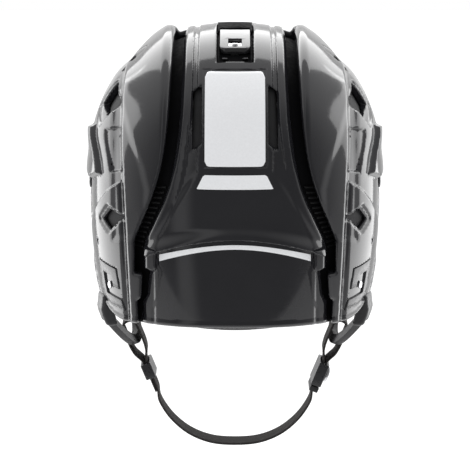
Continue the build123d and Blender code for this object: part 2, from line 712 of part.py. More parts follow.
lever_half = cavity_half - FIT_GAP
lever_plane = Plane.YZ.offset(-lever_half)
with BuildPart() as latch_lever:
    add(layer(-LEVER_RISE, LEVER_DEPTH) & block(-lever_half, lever_half, HINGE_PLACE, LEVER_END,
                                                WIDEST_LEVEL, OVERRUN))
    with BuildSketch(lever_plane):
        with Locations((HINGE_PLACE, hinge_height)):
            Circle(HINGE_BARREL_RADIUS)
    extrude(amount=2 * lever_half)
    with BuildSketch(lever_plane):
        with Locations((HINGE_PLACE, hinge_height)):
            Circle(HINGE_PIN_RADIUS + PIN_GAP)
    extrude(amount=2 * lever_half, mode=Mode.SUBTRACT)
    add(block(-LEVER_WINDOW_HALF, LEVER_WINDOW_HALF, LEVER_WINDOW_FRONT, LEVER_WINDOW_REAR,
              WIDEST_LEVEL, OVERRUN), mode=Mode.SUBTRACT)
    corners = latch_lever.edges().filter_by(Axis.Z, tolerance=LEVER_EDGE_LEAN).group_by(Axis.Y)[-1]
    fillet(corners, LEVER_CORNER)
save(latch_lever.part, "latch_lever")

catch_half = LEVER_WINDOW_HALF - FIT_GAP
catch_rear = LEVER_WINDOW_REAR - FIT_GAP
catch_middle = (CATCH_FRONT + catch_rear) / 2
with BuildPart() as latch_catch:
    add(layer(-CATCH_RISE, LEVER_DEPTH) & block(-catch_half, catch_half, CATCH_FRONT, catch_rear,
                                                WIDEST_LEVEL, OVERRUN))
    add(layer(-CATCH_RISE, CATCH_TOOTH_DEPTH)
        & block(-CATCH_TOOTH_HALF, CATCH_TOOTH_HALF, catch_middle - CATCH_TOOTH_LENGTH / 2,
                catch_middle + CATCH_TOOTH_LENGTH / 2, WIDEST_LEVEL, OVERRUN))
    with BuildSketch(Plane.XY.offset(crown_height(catch_middle))):
        with Locations((0, catch_middle)):
            Circle(KNOB_RADIUS)
    extrude(amount=KNOB_RISE)
save(latch_catch.part, "latch_catch")

rack_slots = int((RACK_REAR - RACK_FRONT) / RACK_PITCH) - 1
with BuildPart() as size_rack:
    add(layer(RACK_TOP, RACK_BOTTOM))
    add(block(-RACK_HALF_WIDTH, RACK_HALF_WIDTH, RACK_FRONT, RACK_REAR, WIDEST_LEVEL, OVERRUN),
        mode=Mode.INTERSECT)
    for step in range(rack_slots):
        notch_place = RACK_FRONT + (step + 1) * RACK_PITCH
        add(block(-RACK_HALF_WIDTH, RACK_HALF_WIDTH, notch_place, notch_place + RACK_NOTCH,
                  crown_height(notch_place, RACK_TOP) - RACK_NOTCH_DEPTH, OVERRUN), mode=Mode.SUBTRACT)
save(size_rack.part, "size_rack")

tray_floor = crown_height(TRAY_SCREW_PLACE + TRAY_SCREW_RADIUS, TRAY_CAVITY)
tray_screw_seat = crown_height(TRAY_SCREW_PLACE - TRAY_SCREW_RADIUS, TRAY_CAVITY) + FIT_GAP
with BuildPart() as latch_screws:
    with BuildSketch(Plane.XY.offset(tray_screw_seat)):
        with Locations(*tray_screw_places):
            Circle(TRAY_SCREW_RADIUS)
    extrude(amount=TRAY_SCREW_HEAD)
    with BuildSketch(Plane.XY.offset(tray_floor)):
        with Locations(*tray_screw_places):
            Circle(TRAY_HOLE_RADIUS - PIN_GAP)
    extrude(amount=tray_screw_seat - tray_floor)
save(latch_screws.part, "latch_screws")

# Clear ear guards, flush with the shell in the ear opening, with two tabs screwed behind its edge
guard_outline = across([side_place(share) for share in guard_shares])
guard_rim = below_rim(-GUARD_GAP)
left_half = block(0, OVERRUN, -OVERRUN, OVERRUN, -OVERRUN, OVERRUN)
tab_back = SHELL_WALL + FIT_GAP + GUARD_WALL
with BuildPart() as ear_guard_left:
    add(layer(GUARD_TOP_DEPTH, GUARD_TOP_DEPTH + GUARD_WALL) & (guard_outline & guard_rim & left_half))
    for place in guard_tab_places:
        tab_sides = (WIDEST_LEVEL, OVERRUN, place[0] - GUARD_TAB_HALF, place[0] + GUARD_TAB_HALF)
        add(layer(GUARD_TOP_DEPTH, tab_back) & (block(*tab_sides, GUARD_TAB_ROOT, OVERRUN) & guard_rim))
        add(layer(SHELL_WALL + FIT_GAP, tab_back) & block(*tab_sides, GUARD_TAB_ROOT, place[1] + GUARD_TAB_RISE))
    for place in guard_seats:
        with BuildSketch(place):
            Circle(SCREW_HOLE_RADIUS)
        extrude(amount=-NUT_POCKET_DEPTH, mode=Mode.SUBTRACT)
    guard_slot_place = side_place(guard_slot_share)
    with BuildSketch(Plane.YZ):
        with Locations(guard_slot_place):
            with GridLocations(GUARD_SLOT_PITCH, 0, GUARD_SLOTS, 1):
                SlotOverall(GUARD_SLOT_LENGTH, GUARD_SLOT_WIDTH, rotation=90)
    extrude(amount=OVERRUN, mode=Mode.SUBTRACT)
save(ear_guard_left.part, "ear_guard_left")
save(other_side(ear_guard_left.part), "ear_guard_right")

# Screws through the shell, each with its nut, on both sides
nut_face = tab_back + NUT_GAP
with BuildPart() as shell_screws:
    for place in screw_seats:
        with BuildSketch(place.offset(FIT_GAP)):
            Circle(SCREW_HEAD_RADIUS)
        extrude(amount=SCREW_HEAD_HEIGHT)
        with BuildSketch(place.offset(FIT_GAP)):
            Circle(SCREW_SHANK_RADIUS)
        extrude(amount=-nut_face - NUT_HEIGHT - FIT_GAP)
    mirror(about=Plane.YZ)
save(shell_screws.part, "shell_screws")

with BuildPart() as shell_nuts:
    for place in screw_seats:
        with BuildSketch(place.offset(-nut_face)):
            Circle(NUT_RADIUS)
            Circle(SCREW_HOLE_RADIUS, mode=Mode.SUBTRACT)
        extrude(amount=-NUT_HEIGHT)
    mirror(about=Plane.YZ)
save(shell_nuts.part, "shell_nuts")

with BuildPart() as cage_nuts:
    with BuildSketch(cage_front_plane.offset(-CAGE_BOSS_LENGTH - FIT_GAP)):
        with Locations(*cage_places):
            Circle(CAGE_NUT_RADIUS)
            Circle(CAGE_NUT_BORE, mode=Mode.SUBTRACT)
    extrude(amount=-CAGE_NUT_HEIGHT)
save(cage_nuts.part, "cage_nuts")

# Cage hooks: an open frame in a shallow recess, with a snap stud beside its mouth
with BuildPart() as cage_hook_left:
    add(layer(-HOOK_RISE, HOOK_DEPTH))
    add(across([(HOOK_FRONT, HOOK_FOOT), (HOOK_REAR, HOOK_FOOT), (HOOK_REAR, HOOK_TOP), (HOOK_FRONT, HOOK_TOP)])
        & left_half, mode=Mode.INTERSECT)
    add(across([(HOOK_FRONT + HOOK_BAR, HOOK_FOOT + HOOK_BAR), (HOOK_REAR - HOOK_BAR, HOOK_FOOT + HOOK_BAR),
                (HOOK_REAR - HOOK_BAR, HOOK_TOP - HOOK_BAR), (HOOK_FRONT + HOOK_BAR, HOOK_TOP - HOOK_BAR)]),
        mode=Mode.SUBTRACT)
    add(across([(HOOK_REAR - HOOK_BAR, STUD_LEVEL), (HOOK_REAR + FIT_GAP, STUD_LEVEL),
                (HOOK_REAR + FIT_GAP, HOOK_FOOT + HOOK_BAR), (HOOK_REAR - HOOK_BAR, HOOK_FOOT + HOOK_BAR)]),
        mode=Mode.SUBTRACT)
save(cage_hook_left.part, "cage_hook_left")
save(other_side(cage_hook_left.part), "cage_hook_right")

stud_plane = seat(STUD_PLACE, STUD_LEVEL).offset(-HOOK_RECESS + FIT_GAP)
with BuildPart() as cage_studs:
    with BuildSketch(stud_plane):
        Circle(STUD_NECK_RADIUS)
    extrude(amount=STUD_HEIGHT)
    with BuildSketch(stud_plane.offset(STUD_HEIGHT - STUD_CAP)):
        Circle(STUD_RADIUS)
    extrude(amount=STUD_CAP)
    mirror(about=Plane.YZ)
save(cage_studs.part, "cage_studs")

# Ear loops: a flexible band from the clip behind the ear, under it, and up to the anchor at the temple
clip_sides = (WIDEST_LEVEL, OVERRUN, CLIP_PLACE - CLIP_HALF_WIDTH, CLIP_PLACE + CLIP_HALF_WIDTH)
loop_back = Vector(*(seat(CLIP_PLACE, CLIP_LEVEL).offset(FIT_GAP + LOOP_WALL / 2).origin))
loop_front = Vector(*(seat(ANCHOR_PLACE, ANCHOR_LEVEL).offset(ANCHOR_STAND).origin))
loop_bottom = Vector(*LOOP_BOTTOM)
loop_run = loop_front - loop_back
loop_span = loop_run.length
loop_face = loop_run.cross(loop_bottom - loop_back).normalized()
loop_plane = Plane(origin=loop_back, x_dir=loop_run, z_dir=loop_face)
loop_low = loop_plane.to_local_coords(loop_bottom)
with BuildPart() as ear_loop_left:
    with BuildSketch(loop_plane):
        with BuildLine():
            Spline((0, 0), (loop_low.X * loop_start_share[0], loop_low.Y * loop_start_share[1]),
                   (loop_low.X, loop_low.Y),
                   *[(loop_span * along, loop_low.Y * down) for along, down in loop_rise_shares],
                   (loop_span, 0))
        trace(line_width=LOOP_WIDTH)
    extrude(amount=LOOP_WALL / 2, both=True)
save(ear_loop_left.part, "ear_loop_left")
save(other_side(ear_loop_left.part), "ear_loop_right")

with BuildPart() as loop_clip_left:
    add(layer(-CLIP_RISE, -FIT_GAP) & block(*clip_sides, CLIP_FOOT, CLIP_TOP))
    add(layer(-CLIP_RISE, SHELL_WALL) & block(*clip_sides, CLIP_FOOT, CLIP_JAW_TOP))
    add(ear_loop_left.part, mode=Mode.SUBTRACT)
save(loop_clip_left.part, "loop_clip_left")
save(other_side(loop_clip_left.part), "loop_clip_right")

with BuildPart() as loop_anchor_left:
    add(layer(-ANCHOR_RISE, -FIT_GAP)
        & block(WIDEST_LEVEL, OVERRUN, ANCHOR_PLACE - ANCHOR_HALF, ANCHOR_PLACE + ANCHOR_HALF,
                ANCHOR_LEVEL - ANCHOR_HALF, ANCHOR_LEVEL + ANCHOR_HALF))
    add(ear_loop_left.part, mode=Mode.SUBTRACT)
save(loop_anchor_left.part, "loop_anchor_left")
save(other_side(loop_anchor_left.part), "loop_anchor_right")

# Chin strap: webbing with a loop round each ear loop, hanging in one upright plane under the chin
lean_x = -sin(radians(STRAP_LEAN))
lean_z = -cos(radians(STRAP_LEAN))
ring_end = RING_LENGTH / 2 + WEBBING_WALL / 2
stem_top = (LOOP_BOTTOM[0] + lean_x * ring_end, LOOP_BOTTOM[2] + lean_z * ring_end)
stem_foot = (stem_top[0] + lean_x * STEM_LENGTH, stem_top[1] + lean_z * STEM_LENGTH)
strap_plane = Plane.XZ.offset(-LOOP_BOTTOM[1])
strap_points = [*reversed([(-x, z) for x, z in STRAP_CURVE[1:]]), *STRAP_CURVE]
with BuildPart() as chin_strap:
    with BuildSketch(strap_plane):
        with Locations((LOOP_BOTTOM[0], LOOP_BOTTOM[2])):
            SlotOverall(RING_LENGTH + 2 * WEBBING_WALL, RING_WIDTH + 2 * WEBBING_WALL, rotation=90 - STRAP_LEAN)
        with BuildLine():
            Line(stem_top, stem_foot)
        trace(line_width=2 * WEBBING_WALL)
        mirror(about=Plane.YZ)
        with BuildLine():
            Spline((-stem_foot[0], stem_foot[1]), *strap_points, stem_foot,
                   tangents=[(-lean_x, lean_z), (-lean_x, -lean_z)])
        trace(line_width=WEBBING_WALL)
        with Locations((LOOP_BOTTOM[0], LOOP_BOTTOM[2])):
            SlotOverall(RING_LENGTH, RING_WIDTH, rotation=90 - STRAP_LEAN, mode=Mode.SUBTRACT)
        with Locations((-LOOP_BOTTOM[0], LOOP_BOTTOM[2])):
            SlotOverall(RING_LENGTH, RING_WIDTH, rotation=90 + STRAP_LEAN, mode=Mode.SUBTRACT)
    extrude(amount=WEBBING_WIDTH / 2, both=True)
save(chin_strap.part, "chin_strap")

# Slider, snap and keeper: sleeves round the doubled webbing
def sleeve(distance, length, wall, side):
    """A sleeve round the strap's doubled stretch, a distance down from its loop."""
    start = Vector(side * (stem_top[0] + lean_x * distance), LOOP_BOTTOM[1], stem_top[1] + lean_z * distance)
    section = Plane(origin=start, x_dir=(0, 1, 0), z_dir=(side * lean_x, 0, lean_z))
    with BuildPart() as body:
        with BuildSketch(section):
            RectangleRounded(WEBBING_WIDTH + 2 * (wall + FIT_GAP), 2 * (WEBBING_WALL + wall + FIT_GAP), wall / 2)
            Rectangle(WEBBING_WIDTH + 2 * FIT_GAP, 2 * (WEBBING_WALL + FIT_GAP), mode=Mode.SUBTRACT)
        extrude(amount=length)
    return body.part


save(sleeve(SLIDER_PLACE - SLIDER_LENGTH, SLIDER_LENGTH, SLIDER_WALL, 1), "strap_slider")
save(sleeve(SLIDER_PLACE - SLIDER_LENGTH, SNAP_LENGTH, SLIDER_WALL, -1), "strap_snap_housing")
save(sleeve(KEEPER_PLACE, KEEPER_LENGTH, KEEPER_WALL, -1), "strap_keeper")

snap_distance = SLIDER_PLACE - SLIDER_LENGTH + SNAP_LENGTH / 2
snap_height = WEBBING_WALL + FIT_GAP * 2 + SLIDER_WALL
snap_centre = Vector(-(stem_top[0] + lean_x * snap_distance), LOOP_BOTTOM[1],
                     stem_top[1] + lean_z * snap_distance)
with BuildPart() as strap_snap_cap:
    with BuildSketch(Plane(origin=snap_centre, x_dir=(0, 1, 0), z_dir=(lean_z, 0, lean_x)).offset(snap_height)):
        Circle(SNAP_DISC_RADIUS)
    extrude(amount=SNAP_DISC_HEIGHT)
save(strap_snap_cap.part, "strap_snap_cap")

# White panels on the rear shell: a blank label plate and two reflective stripes
with BuildPart() as label_panel:
    add(layer(-PANEL_RISE - DECAL_GAP - DECAL_WALL, -PANEL_RISE - DECAL_GAP))
    with BuildSketch(Plane.XZ):
        with Locations((0, (LABEL_TOP + LABEL_FOOT) / 2)):
            RectangleRounded(2 * LABEL_HALF_WIDTH, LABEL_TOP - LABEL_FOOT, LABEL_CORNER)
    extrude(amount=-OVERRUN, mode=Mode.INTERSECT)
save(label_panel.part, "label_panel")

decal_skin = layer(-DECAL_GAP - DECAL_WALL, -DECAL_GAP)
with BuildPart() as upper_stripe:
    add(decal_skin)
    add(rearward([(-STRIPE_TOP_HALF, STRIPE_TOP), (STRIPE_TOP_HALF, STRIPE_TOP),
                  (STRIPE_FOOT_HALF, STRIPE_FOOT), (-STRIPE_FOOT_HALF, STRIPE_FOOT)]), mode=Mode.INTERSECT)
save(upper_stripe.part, "upper_stripe")

with BuildPart() as lower_stripe:
    add(decal_skin)
    add(arched_band(lower_stripe_top_shares, lower_stripe_foot_shares), mode=Mode.INTERSECT)
save(lower_stripe.part, "lower_stripe")
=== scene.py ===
import functools
import math

import bmesh
import bpy
import numpy as np
from mathutils import Matrix, Vector


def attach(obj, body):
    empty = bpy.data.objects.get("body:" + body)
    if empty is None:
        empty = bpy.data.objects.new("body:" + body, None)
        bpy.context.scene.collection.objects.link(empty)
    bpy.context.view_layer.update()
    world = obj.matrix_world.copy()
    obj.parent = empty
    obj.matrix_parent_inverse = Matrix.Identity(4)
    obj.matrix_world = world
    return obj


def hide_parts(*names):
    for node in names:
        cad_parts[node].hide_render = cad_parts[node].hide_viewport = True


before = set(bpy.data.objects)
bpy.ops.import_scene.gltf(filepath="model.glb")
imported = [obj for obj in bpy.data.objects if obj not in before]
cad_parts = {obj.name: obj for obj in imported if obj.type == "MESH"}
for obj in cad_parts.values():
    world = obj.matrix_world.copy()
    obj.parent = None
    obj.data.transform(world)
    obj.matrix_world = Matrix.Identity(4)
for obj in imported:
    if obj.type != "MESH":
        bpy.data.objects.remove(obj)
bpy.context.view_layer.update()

bl_info = {
    "name": "Ice hockey helmet",
    "version": (1, 0, 0),
    "blender": (4, 5, 0),
    "location": "View3D > Sidebar > Helmet",
    "description": "Builds an ice hockey helmet: shells, foam, latch, guards, loops and chin strap",
    "category": "Add Mesh",
}

# Everything below is in millimetres until a mesh is made.
MM = 0.001

# Head form that both shells follow
HALF_WIDTH, FRONT_REACH, REAR_REACH = 103.5, 132.0, 124.0
WIDEST_LEVEL, CROWN_LEVEL, FLOOR_LEVEL = 66.0, 182.0, -26.0
ROUNDNESS, DOME, FLOOR_TAPER, TAPER_LIMIT = 2.4, 2.35, 0.097, 1.6
FAR = 400.0

# Walls and depths, outside and under the head form
SHELL_WALL, LEAST_WALL, RIM_ROUND = 3.2, 3.1, 1.2
FLANGE_DEPTH, FLANGE_BACK = 4.6, 6.8
LINER_FRONT, CROWN_LINER_FRONT, LINER_DEPTH, FOAM_ROUND = 3.3, 7.2, 20.0, 3.0

# Where the shells end and what lies in them
REAR_FRONT_EDGE, SEAM = -30.0, 1.5
TONGUE_HALF, TONGUE_END = 22.0, 62.0
LATCH_HALF, LATCH_FRONT, LATCH_REAR = 12.5, -20.0, 66.0
SIDE_FROM, FLANGE_FRONT = 40.0, -44.0
BOSS_SIDE, BOSS_LEVEL, BOSS_RADIUS, BOSS_HOLE, BOSS_FRONT, BOSS_BACK = 46.0, 94.0, 6.5, 2.6, -123.5, -113.5
SCREW_PLACES = ((-28.4, 76.4), (13.0, 74.6), (59.3, 42.8))
GUARD_SCREWS = SCREW_PLACES[:2]
SCREW_HOLE = 2.5
OVAL_TURN, OVAL_SIDE, OVAL_PLACE, OVAL_HALF, OVAL_RADIUS = 122.0, 71.4, 8.7, 6.5, 5.5

# How far forms of the front shell stand out or lie back
WING_RISE, LIP_RISE, SHOULDER_RISE, BUMP_RISE = 4.0, 4.6, 4.0, 4.0
CHEEK_RISE, PLATE_RISE, FRONT_RIM_RISE = 1.6, 1.4, 0.9
FACET_DEPTH, VENT_B_DEPTH, VENT_DEPTH, HOOK_DEPTH = 1.2, 1.7, 1.3, 1.0
LIP_LEVEL, SHOULDER_LEVEL, SHOULDER_HALF, SHOULDER_SIDE = 132.0, 132.0, 24.0, 66.0

# The same on the rear shell
PANEL_RISE, RAIL_RISE, LOW_RAIL_RISE, SLANT_RISE = 1.3, 0.5, 1.4, 1.1
LEDGE_RISE, LUG_RISE, REAR_RIM_RISE = 5.0, 2.6, 0.9
PANEL_HALF, RAIL_MIDDLE, RAIL_HALF, SLANT_START, SLANT_TOP, SLANT_SPREAD = 25.3, 4.6, 2.9, 26.0, 106, 0.62
ARCH_TOP, ARCH_DROP, ARCH_HALF, LEDGE_HEIGHT = 70.6, 15.0, 61.0, 9.2
SEAT_DEPTH, STEP_DEPTH, FOLD_SLOPE, FOLD_SIDE, FOLD_ROUND = 0.5, 1.0, 0.025, 36.0, 9.0

# White films on the rear shell
FILM_WALL, FILM_STAND, FILM_CELL = 0.3, 0.12, 1.4
LABEL_HALF, LABEL_FOOT, LABEL_TOP, LABEL_CORNER = 20.3, 110.0, 166.0, 3.2
BAND_HALF, BAND_TOP, BAND_SAG, BAND_HEIGHT, BAND_GROWTH = 51.3, 57.4, 9.8, 3.1, 1.6

# Ear loops' lowest place and the webbing on them; the ring's values are along the strap's lean
LOOP_BOTTOM = (73.0, 10.0, -46.0)
WEBBING_WIDTH, WEBBING_WALL, STRAP_LEAN = 16.0, 1.5, 21.7
RING_TOP, RING_HALF = -10.4, 5.45

# Where each foam layer ends along the helmet, its lift over the lower edge, and the cradle behind it
FRONT_FOAM_END, FOAM_SEAM, CROWN_FOAM_END, REAR_FOAM_START = -46.4, -45.0, 61.6, 67.9
FOAM_LIFT, CRADLE_HALF, CRADLE_TOP, CRADLE_GAP = 3.4, 46.8, 21.8, 0.8
PAD_GAP, PAD_DEPTH, PAD_PUFF, PAD_EDGE, SEAM_DEPTH, SEAM_REACH = 0.4, 24.0, 2.2, 9.0, 1.5, 1.5

# Rungs in the slot between the shells, panes and slots of the ear guards, loop clips, and screws
RUNG_HALF, RUNG_DEEP_HALF, RUNG_THIN_HALF = 3.9, 1.4, 0.8
RUNG_LOW, RUNG_HIGH, RUNG_PITCH = 50.0, 94.0, 3.6
SLOT_PLACE, SLOT_LEVEL, SLOT_PITCH, SLOT_HALF, SLOT_RADIUS = 5.3, 28.2, 8, 4.5, 2.0
PANE_TOP, PANE_BOTTOM, TAB_TOP, TAB_BOTTOM, TAB_HALF = 0.4, 2.4, 3.4, 5.2, 8
CLIP_STAND, CLIP_LOW, CLIP_FRONT, CLIP_BACK = 5.9, -20.8, 44.2, 59.8
HEAD_RADIUS, SHANK_RADIUS, SHANK_END, CROSS_LONG, CROSS_THIN = 5.2, 2.2, -11.0, 2.7, 0.6

# Mesh sizes of the small pieces, and shares of the shells' and the foam's
RUNG_CELL, SCREW_CELL, GUARD_CELL, CLIP_CELL, CRADLE_CELL = 0.4, 0.34, 0.95, 0.8, 1.3
REAR_FINER, PAD_FINER = 0.85, 0.7

# Rear view outlines, as (x, z), from the top down
wing_edge_curve = [(42.9, 168), (45.6, 131), (52, 98), (68, 55.5)]
wing_edge_steps = [(68.6, 31.8), (62.9, 31.8), (64.2, 14), (66.9, 10.9), (66.3, -29.1)]
spine_edge_curve = [(36.1, 168), (38.2, 131), (44.8, 94.5), (60.4, 57.3)]
spine_edge_steps = [(61.9, 51), (61.9, 36), (58.4, 34), (60.5, 16), (64, 8.9), (65, -29.1)]
wing_ridge_curve = [(79, 168), (79, 120), (77.5, 92), (75.8, 52)]
wing_ridge_steps = [(73.3, -29.1)]
spine_vent = [(22.6, 158), (28.4, 153.5), (28.4, 119.5), (22.6, 124)]
lug = [(53.5, 52), (62.3, 52), (62.3, 36), (56.7, 34.9), (53.5, 37)]
side_step = [(54.8, 34.9), (64.2, 34.9), (66.2, -29.1), (54.8, -29.1)]
wing_facet = [
    (84, 156), (78, 142), (71, 124), (63, 106), (59.5, 92), (60, 62), (84, 50)]
label_seat = [(-21.5, 167), (21.5, 167), (21.5, 109), (-21.5, 109)]
upper_stripe = [(-21, 104.3), (21, 104.3), (25.6, 95.4), (25.2, 95.2), (-25.2, 95.2), (-25.6, 95.4)]

# Side view outlines, as (y, z)
rim_line = [
    (-184.8, 84), (-120, 79), (-96, 70), (-76, 48), (-61, 38), (-48, 46),
    (-36, 61), (-6, 67), (20, 58), (33, 32), (40, 4), (58, -4.9), (80, -9.5),
    (102, -6), (161, 2.5)]
vent_a = [(12, 130), (22, 147), (54, 140), (44, 124)]
vent_b = [(56, 121), (70, 126), (88, 100), (76, 96)]
vent_c = [(69, 61), (80, 71), (90, 67.5), (80, 56)]
bump = [(-42, 104), (36, 120), (64, 92), (40, 83.4), (-38, 87)]
cheek = [(150, 144), (58, 68), (36, 50), (36, -60), (150, -60)]
hook_recess = [(59.7, -0.3), (86.3, -0.3), (86.3, 29.3), (59.7, 29.3)]
guard_edge = [
    (-43.6, 69.2), (40, 69.2), (36, 2), (26, -6.9), (6, -8), (-12, 8), (-30, 30),
    (-40.9, 47.7)]

# Top view outlines, as (x, y)
wing_front = [(36, -66), (52, -58), (70, -34), (90, 14), (90, 220), (36, 220)]
front_vent = [(16, -62), (27, -58), (36, -92), (27, -98)]
shoulder_vent = [(50, -40), (60, -34), (68, -62), (58, -70)]
forehead_plate = [
    (-15, -37), (15, -37), (25, -99), (12, -122), (-12, -122), (-25, -99)]


# ---- shapes as distances: negative inside, in millimetres ----

def flowing(points, steps=5):
    """The points of a smooth line through some places."""
    rows = [np.array(p, float) for p in (points[0], *points, points[-1])]
    made = []
    for a, b, c, d in zip(rows, rows[1:], rows[2:], rows[3:]):
        for step in range(steps):
            t = step / steps
            made.append(tuple(0.5 * (2 * b + (c - a) * t + (2 * a - 5 * b + 4 * c - d) * t * t
                                     + (3 * b - a - 3 * c + d) * t ** 3)))
    return made + [tuple(rows[-1])]


def outline(corners, u, v):
    """Distance from a closed outline."""
    shape = np.broadcast_shapes(np.shape(u), np.shape(v))
    near = np.full(shape, 1e9, np.float32)
    inside = np.zeros(shape, bool)
    for (au, av), (bu, bv) in zip(corners, corners[1:] + corners[:1]):
        eu, ev = bu - au, bv - av
        if eu == 0 and ev == 0:
            continue
        wu, wv = u - au, v - av
        t = np.clip((wu * eu + wv * ev) / (eu * eu + ev * ev), 0, 1)
        near = np.minimum(near, (wu - eu * t) ** 2 + (wv - ev * t) ** 2)
        if ev != 0:
            inside = inside ^ (((av > v) != (bv > v)) & (u < eu * (v - av) / ev + au))
    return np.where(inside, -1, 1) * np.sqrt(near)


def window_outline(curve, steps):
    """A symmetric rear view outline from its right side."""
    side = flowing(curve) + steps
    side = [(side[0][0], FAR)] + side
    return side + [(-x, z) for x, z in reversed(side)]


def both(a, b, soft=0.0):
    """Inside a and inside b, with the edge between them rounded."""
    if soft == 0:
        return np.maximum(a, b)
    h = np.maximum(soft - np.abs(a - b), 0) / soft
    return np.maximum(a, b) + h * h * soft / 4


def either(a, b, soft=0.0):
    """Inside a or inside b, with the corner between them filled softly."""
    return -both(-a, -b, soft)


def slab(value, low, high):
    """Distance from the layer between two values."""
    return np.maximum(low - value, value - high)


def within(*parts):
    """Inside every part, with sharp edges."""
    return functools.reduce(np.maximum, parts)


def layer(base, top, bottom, soft):
    """What lies between two depths under a skin."""
    return both(base + top, -(base + bottom), soft)


def ramp(distance, width):
    """1 inside an outline, 0 outside it, and an even slope of some width between."""
    t = np.clip(0.5 - distance / width, 0, 1)
    return t * t * (3 - 2 * t)


def form(x, y, z):
    """Distance from the head form."""
    def size(px, py, pz):
        length = np.where(py > 0, REAR_REACH, FRONT_REACH)
        around = (np.abs(px) / HALF_WIDTH) ** ROUNDNESS + (np.abs(py) / length) ** ROUNDNESS
        ring = around ** (1 / ROUNDNESS)
        rise = np.maximum(pz - WIDEST_LEVEL, 0) / (CROWN_LEVEL - WIDEST_LEVEL)
        drop = np.maximum(WIDEST_LEVEL - pz, 0) / (WIDEST_LEVEL - FLOOR_LEVEL)
        taper = 1 - FLOOR_TAPER * np.minimum(drop, TAPER_LIMIT) ** 2
        return (ring ** DOME + rise ** DOME) ** (1 / DOME) / taper
    here = size(x, y, z)
    e = 0.25
    lean = (size(x + e, y, z) - here) ** 2 + (size(x, y + e, z) - here) ** 2 + (size(x, y, z + e) - here) ** 2
    return (here - 1) / (np.sqrt(lean) / e + 1e-6)


WING_EDGE = window_outline(wing_edge_curve, wing_edge_steps)
SPINE_EDGE = window_outline(spine_edge_curve, spine_edge_steps)
WING_RIDGE = window_outline(wing_ridge_curve, wing_ridge_steps)
RIM = flowing(rim_line, 4) + [(161.0, -FAR), (-184.8, -FAR)]


def lower_edge(y, z, lift=0.0):
    """Distance from what lies below the helmet's lower edge."""
    return outline(RIM, y, z - lift)


def front_height(x, y, z):
    """How far the front shell stands out from the head form."""
    side = np.abs(x)
    beside = side > SIDE_FROM
    edge, ridge = outline(WING_EDGE, x, z), outline(WING_RIDGE, x, z)
    start = np.where(z > WIDEST_LEVEL, outline(wing_front, side, y), -y)
    reach = ramp(start + 7.0, 16.0)
    wing = both(ridge, -3.0 - edge)
    # the wing swells into a lip along its inner edge, lower down
    lip = np.clip(-wing / 3.0, 0, 1) * np.clip(1 - (edge - 2.0) / 34.0, 0, 1) * ramp(LIP_LEVEL - z, 44.0)
    # the shoulder is fuller than the form over the ears
    shoulder = ramp(np.abs(z - SHOULDER_LEVEL) - SHOULDER_HALF, 22.0) * ramp(np.abs(y) - 60.0, 50.0)
    shoulder = shoulder * ramp(SHOULDER_SIDE - side, 24.0)
    # the facet lies outside the crease that runs down and in from the ridge's top
    facet = ramp(outline(wing_facet, side, z), 6.0) * ramp(20 - y, 20)
    return sum((
        WING_RISE * ramp(wing + 1.2, 2.8) * reach,
        LIP_RISE * lip * reach,
        SHOULDER_RISE * shoulder,
        -FACET_DEPTH * facet,
        BUMP_RISE * ramp(outline(bump, y, z), 3.0) * beside,
        CHEEK_RISE * ramp(outline(cheek, y, z) + 0.8, 2.4) * ramp(1.5 - ridge, 5.0),
        -VENT_B_DEPTH * ramp(outline(vent_b, y, z), 2.2) * beside,
        *(-VENT_DEPTH * ramp(outline(vent, y, z) - 2.6, 2.6) * beside for vent in (vent_a, vent_c)),
        -HOOK_DEPTH * ramp(outline(hook_recess, y, z), 0.8) * beside,
        PLATE_RISE * ramp(outline(forehead_plate, x, y), 3.0) * (z > WIDEST_LEVEL),
        FRONT_RIM_RISE * ramp(np.abs(lower_edge(y, z) - 2.2) - 1.4, 2.0),
    ))


def oval_vent(side, y):
    """Distance from the long hole in the shoulder, in the top view."""
    turn, across, along = math.radians(OVAL_TURN), side - OVAL_SIDE, y - OVAL_PLACE
    u = across * math.cos(turn) + along * math.sin(turn)
    v = along * math.cos(turn) - across * math.sin(turn)
    return np.sqrt(np.maximum(np.abs(u) - OVAL_HALF, 0) ** 2 + v ** 2) - OVAL_RADIUS


def vents(x, y, z):
    """The holes through the front shell."""
    side = np.abs(x)
    holes = both(either(outline(vent_a, y, z), outline(vent_c, y, z)), SIDE_FROM - side)
    top = either(either(outline(front_vent, side, y), outline(shoulder_vent, side, y)), oval_vent(side, y))
    return either(holes, both(top, WIDEST_LEVEL - z))


def round_hole(u, v, place, radius):
    """Distance from a round bar along the view, at a place in it."""
    return np.sqrt((u - place[0]) ** 2 + (v - place[1]) ** 2) - radius


def walled(outer, base):
    """Inside an outer skin, down to the shell's wall under the form, and never too thin."""
    return both(outer, -both(base + SHELL_WALL, outer + LEAST_WALL), 1.0)


def flange_outline(x, y, z):
    """What lies inside the wings' edge, from the flange's front end."""
    return both(outline(WING_EDGE, x, z) - 5.0, FLANGE_FRONT - y)


def flange(x, y, z):
    """The sunk track that the rear shell slides on, with its tongue under the latch."""
    side, base = np.abs(x), form(x, y, z)
    opening = both(outline(SPINE_EDGE, x, z) + 8.0, REAR_FRONT_EDGE + 8.0 - y)
    opening = both(opening, -both(slab(side, -1, TONGUE_HALF), slab(y, -60, TONGUE_END)))
    track = both(both(base + FLANGE_DEPTH, -(base + FLANGE_BACK + 0.9)), flange_outline(x, y, z) + 0.8)
    return both(both(track, -opening, 1.0), -lower_edge(y, z), 1.0)


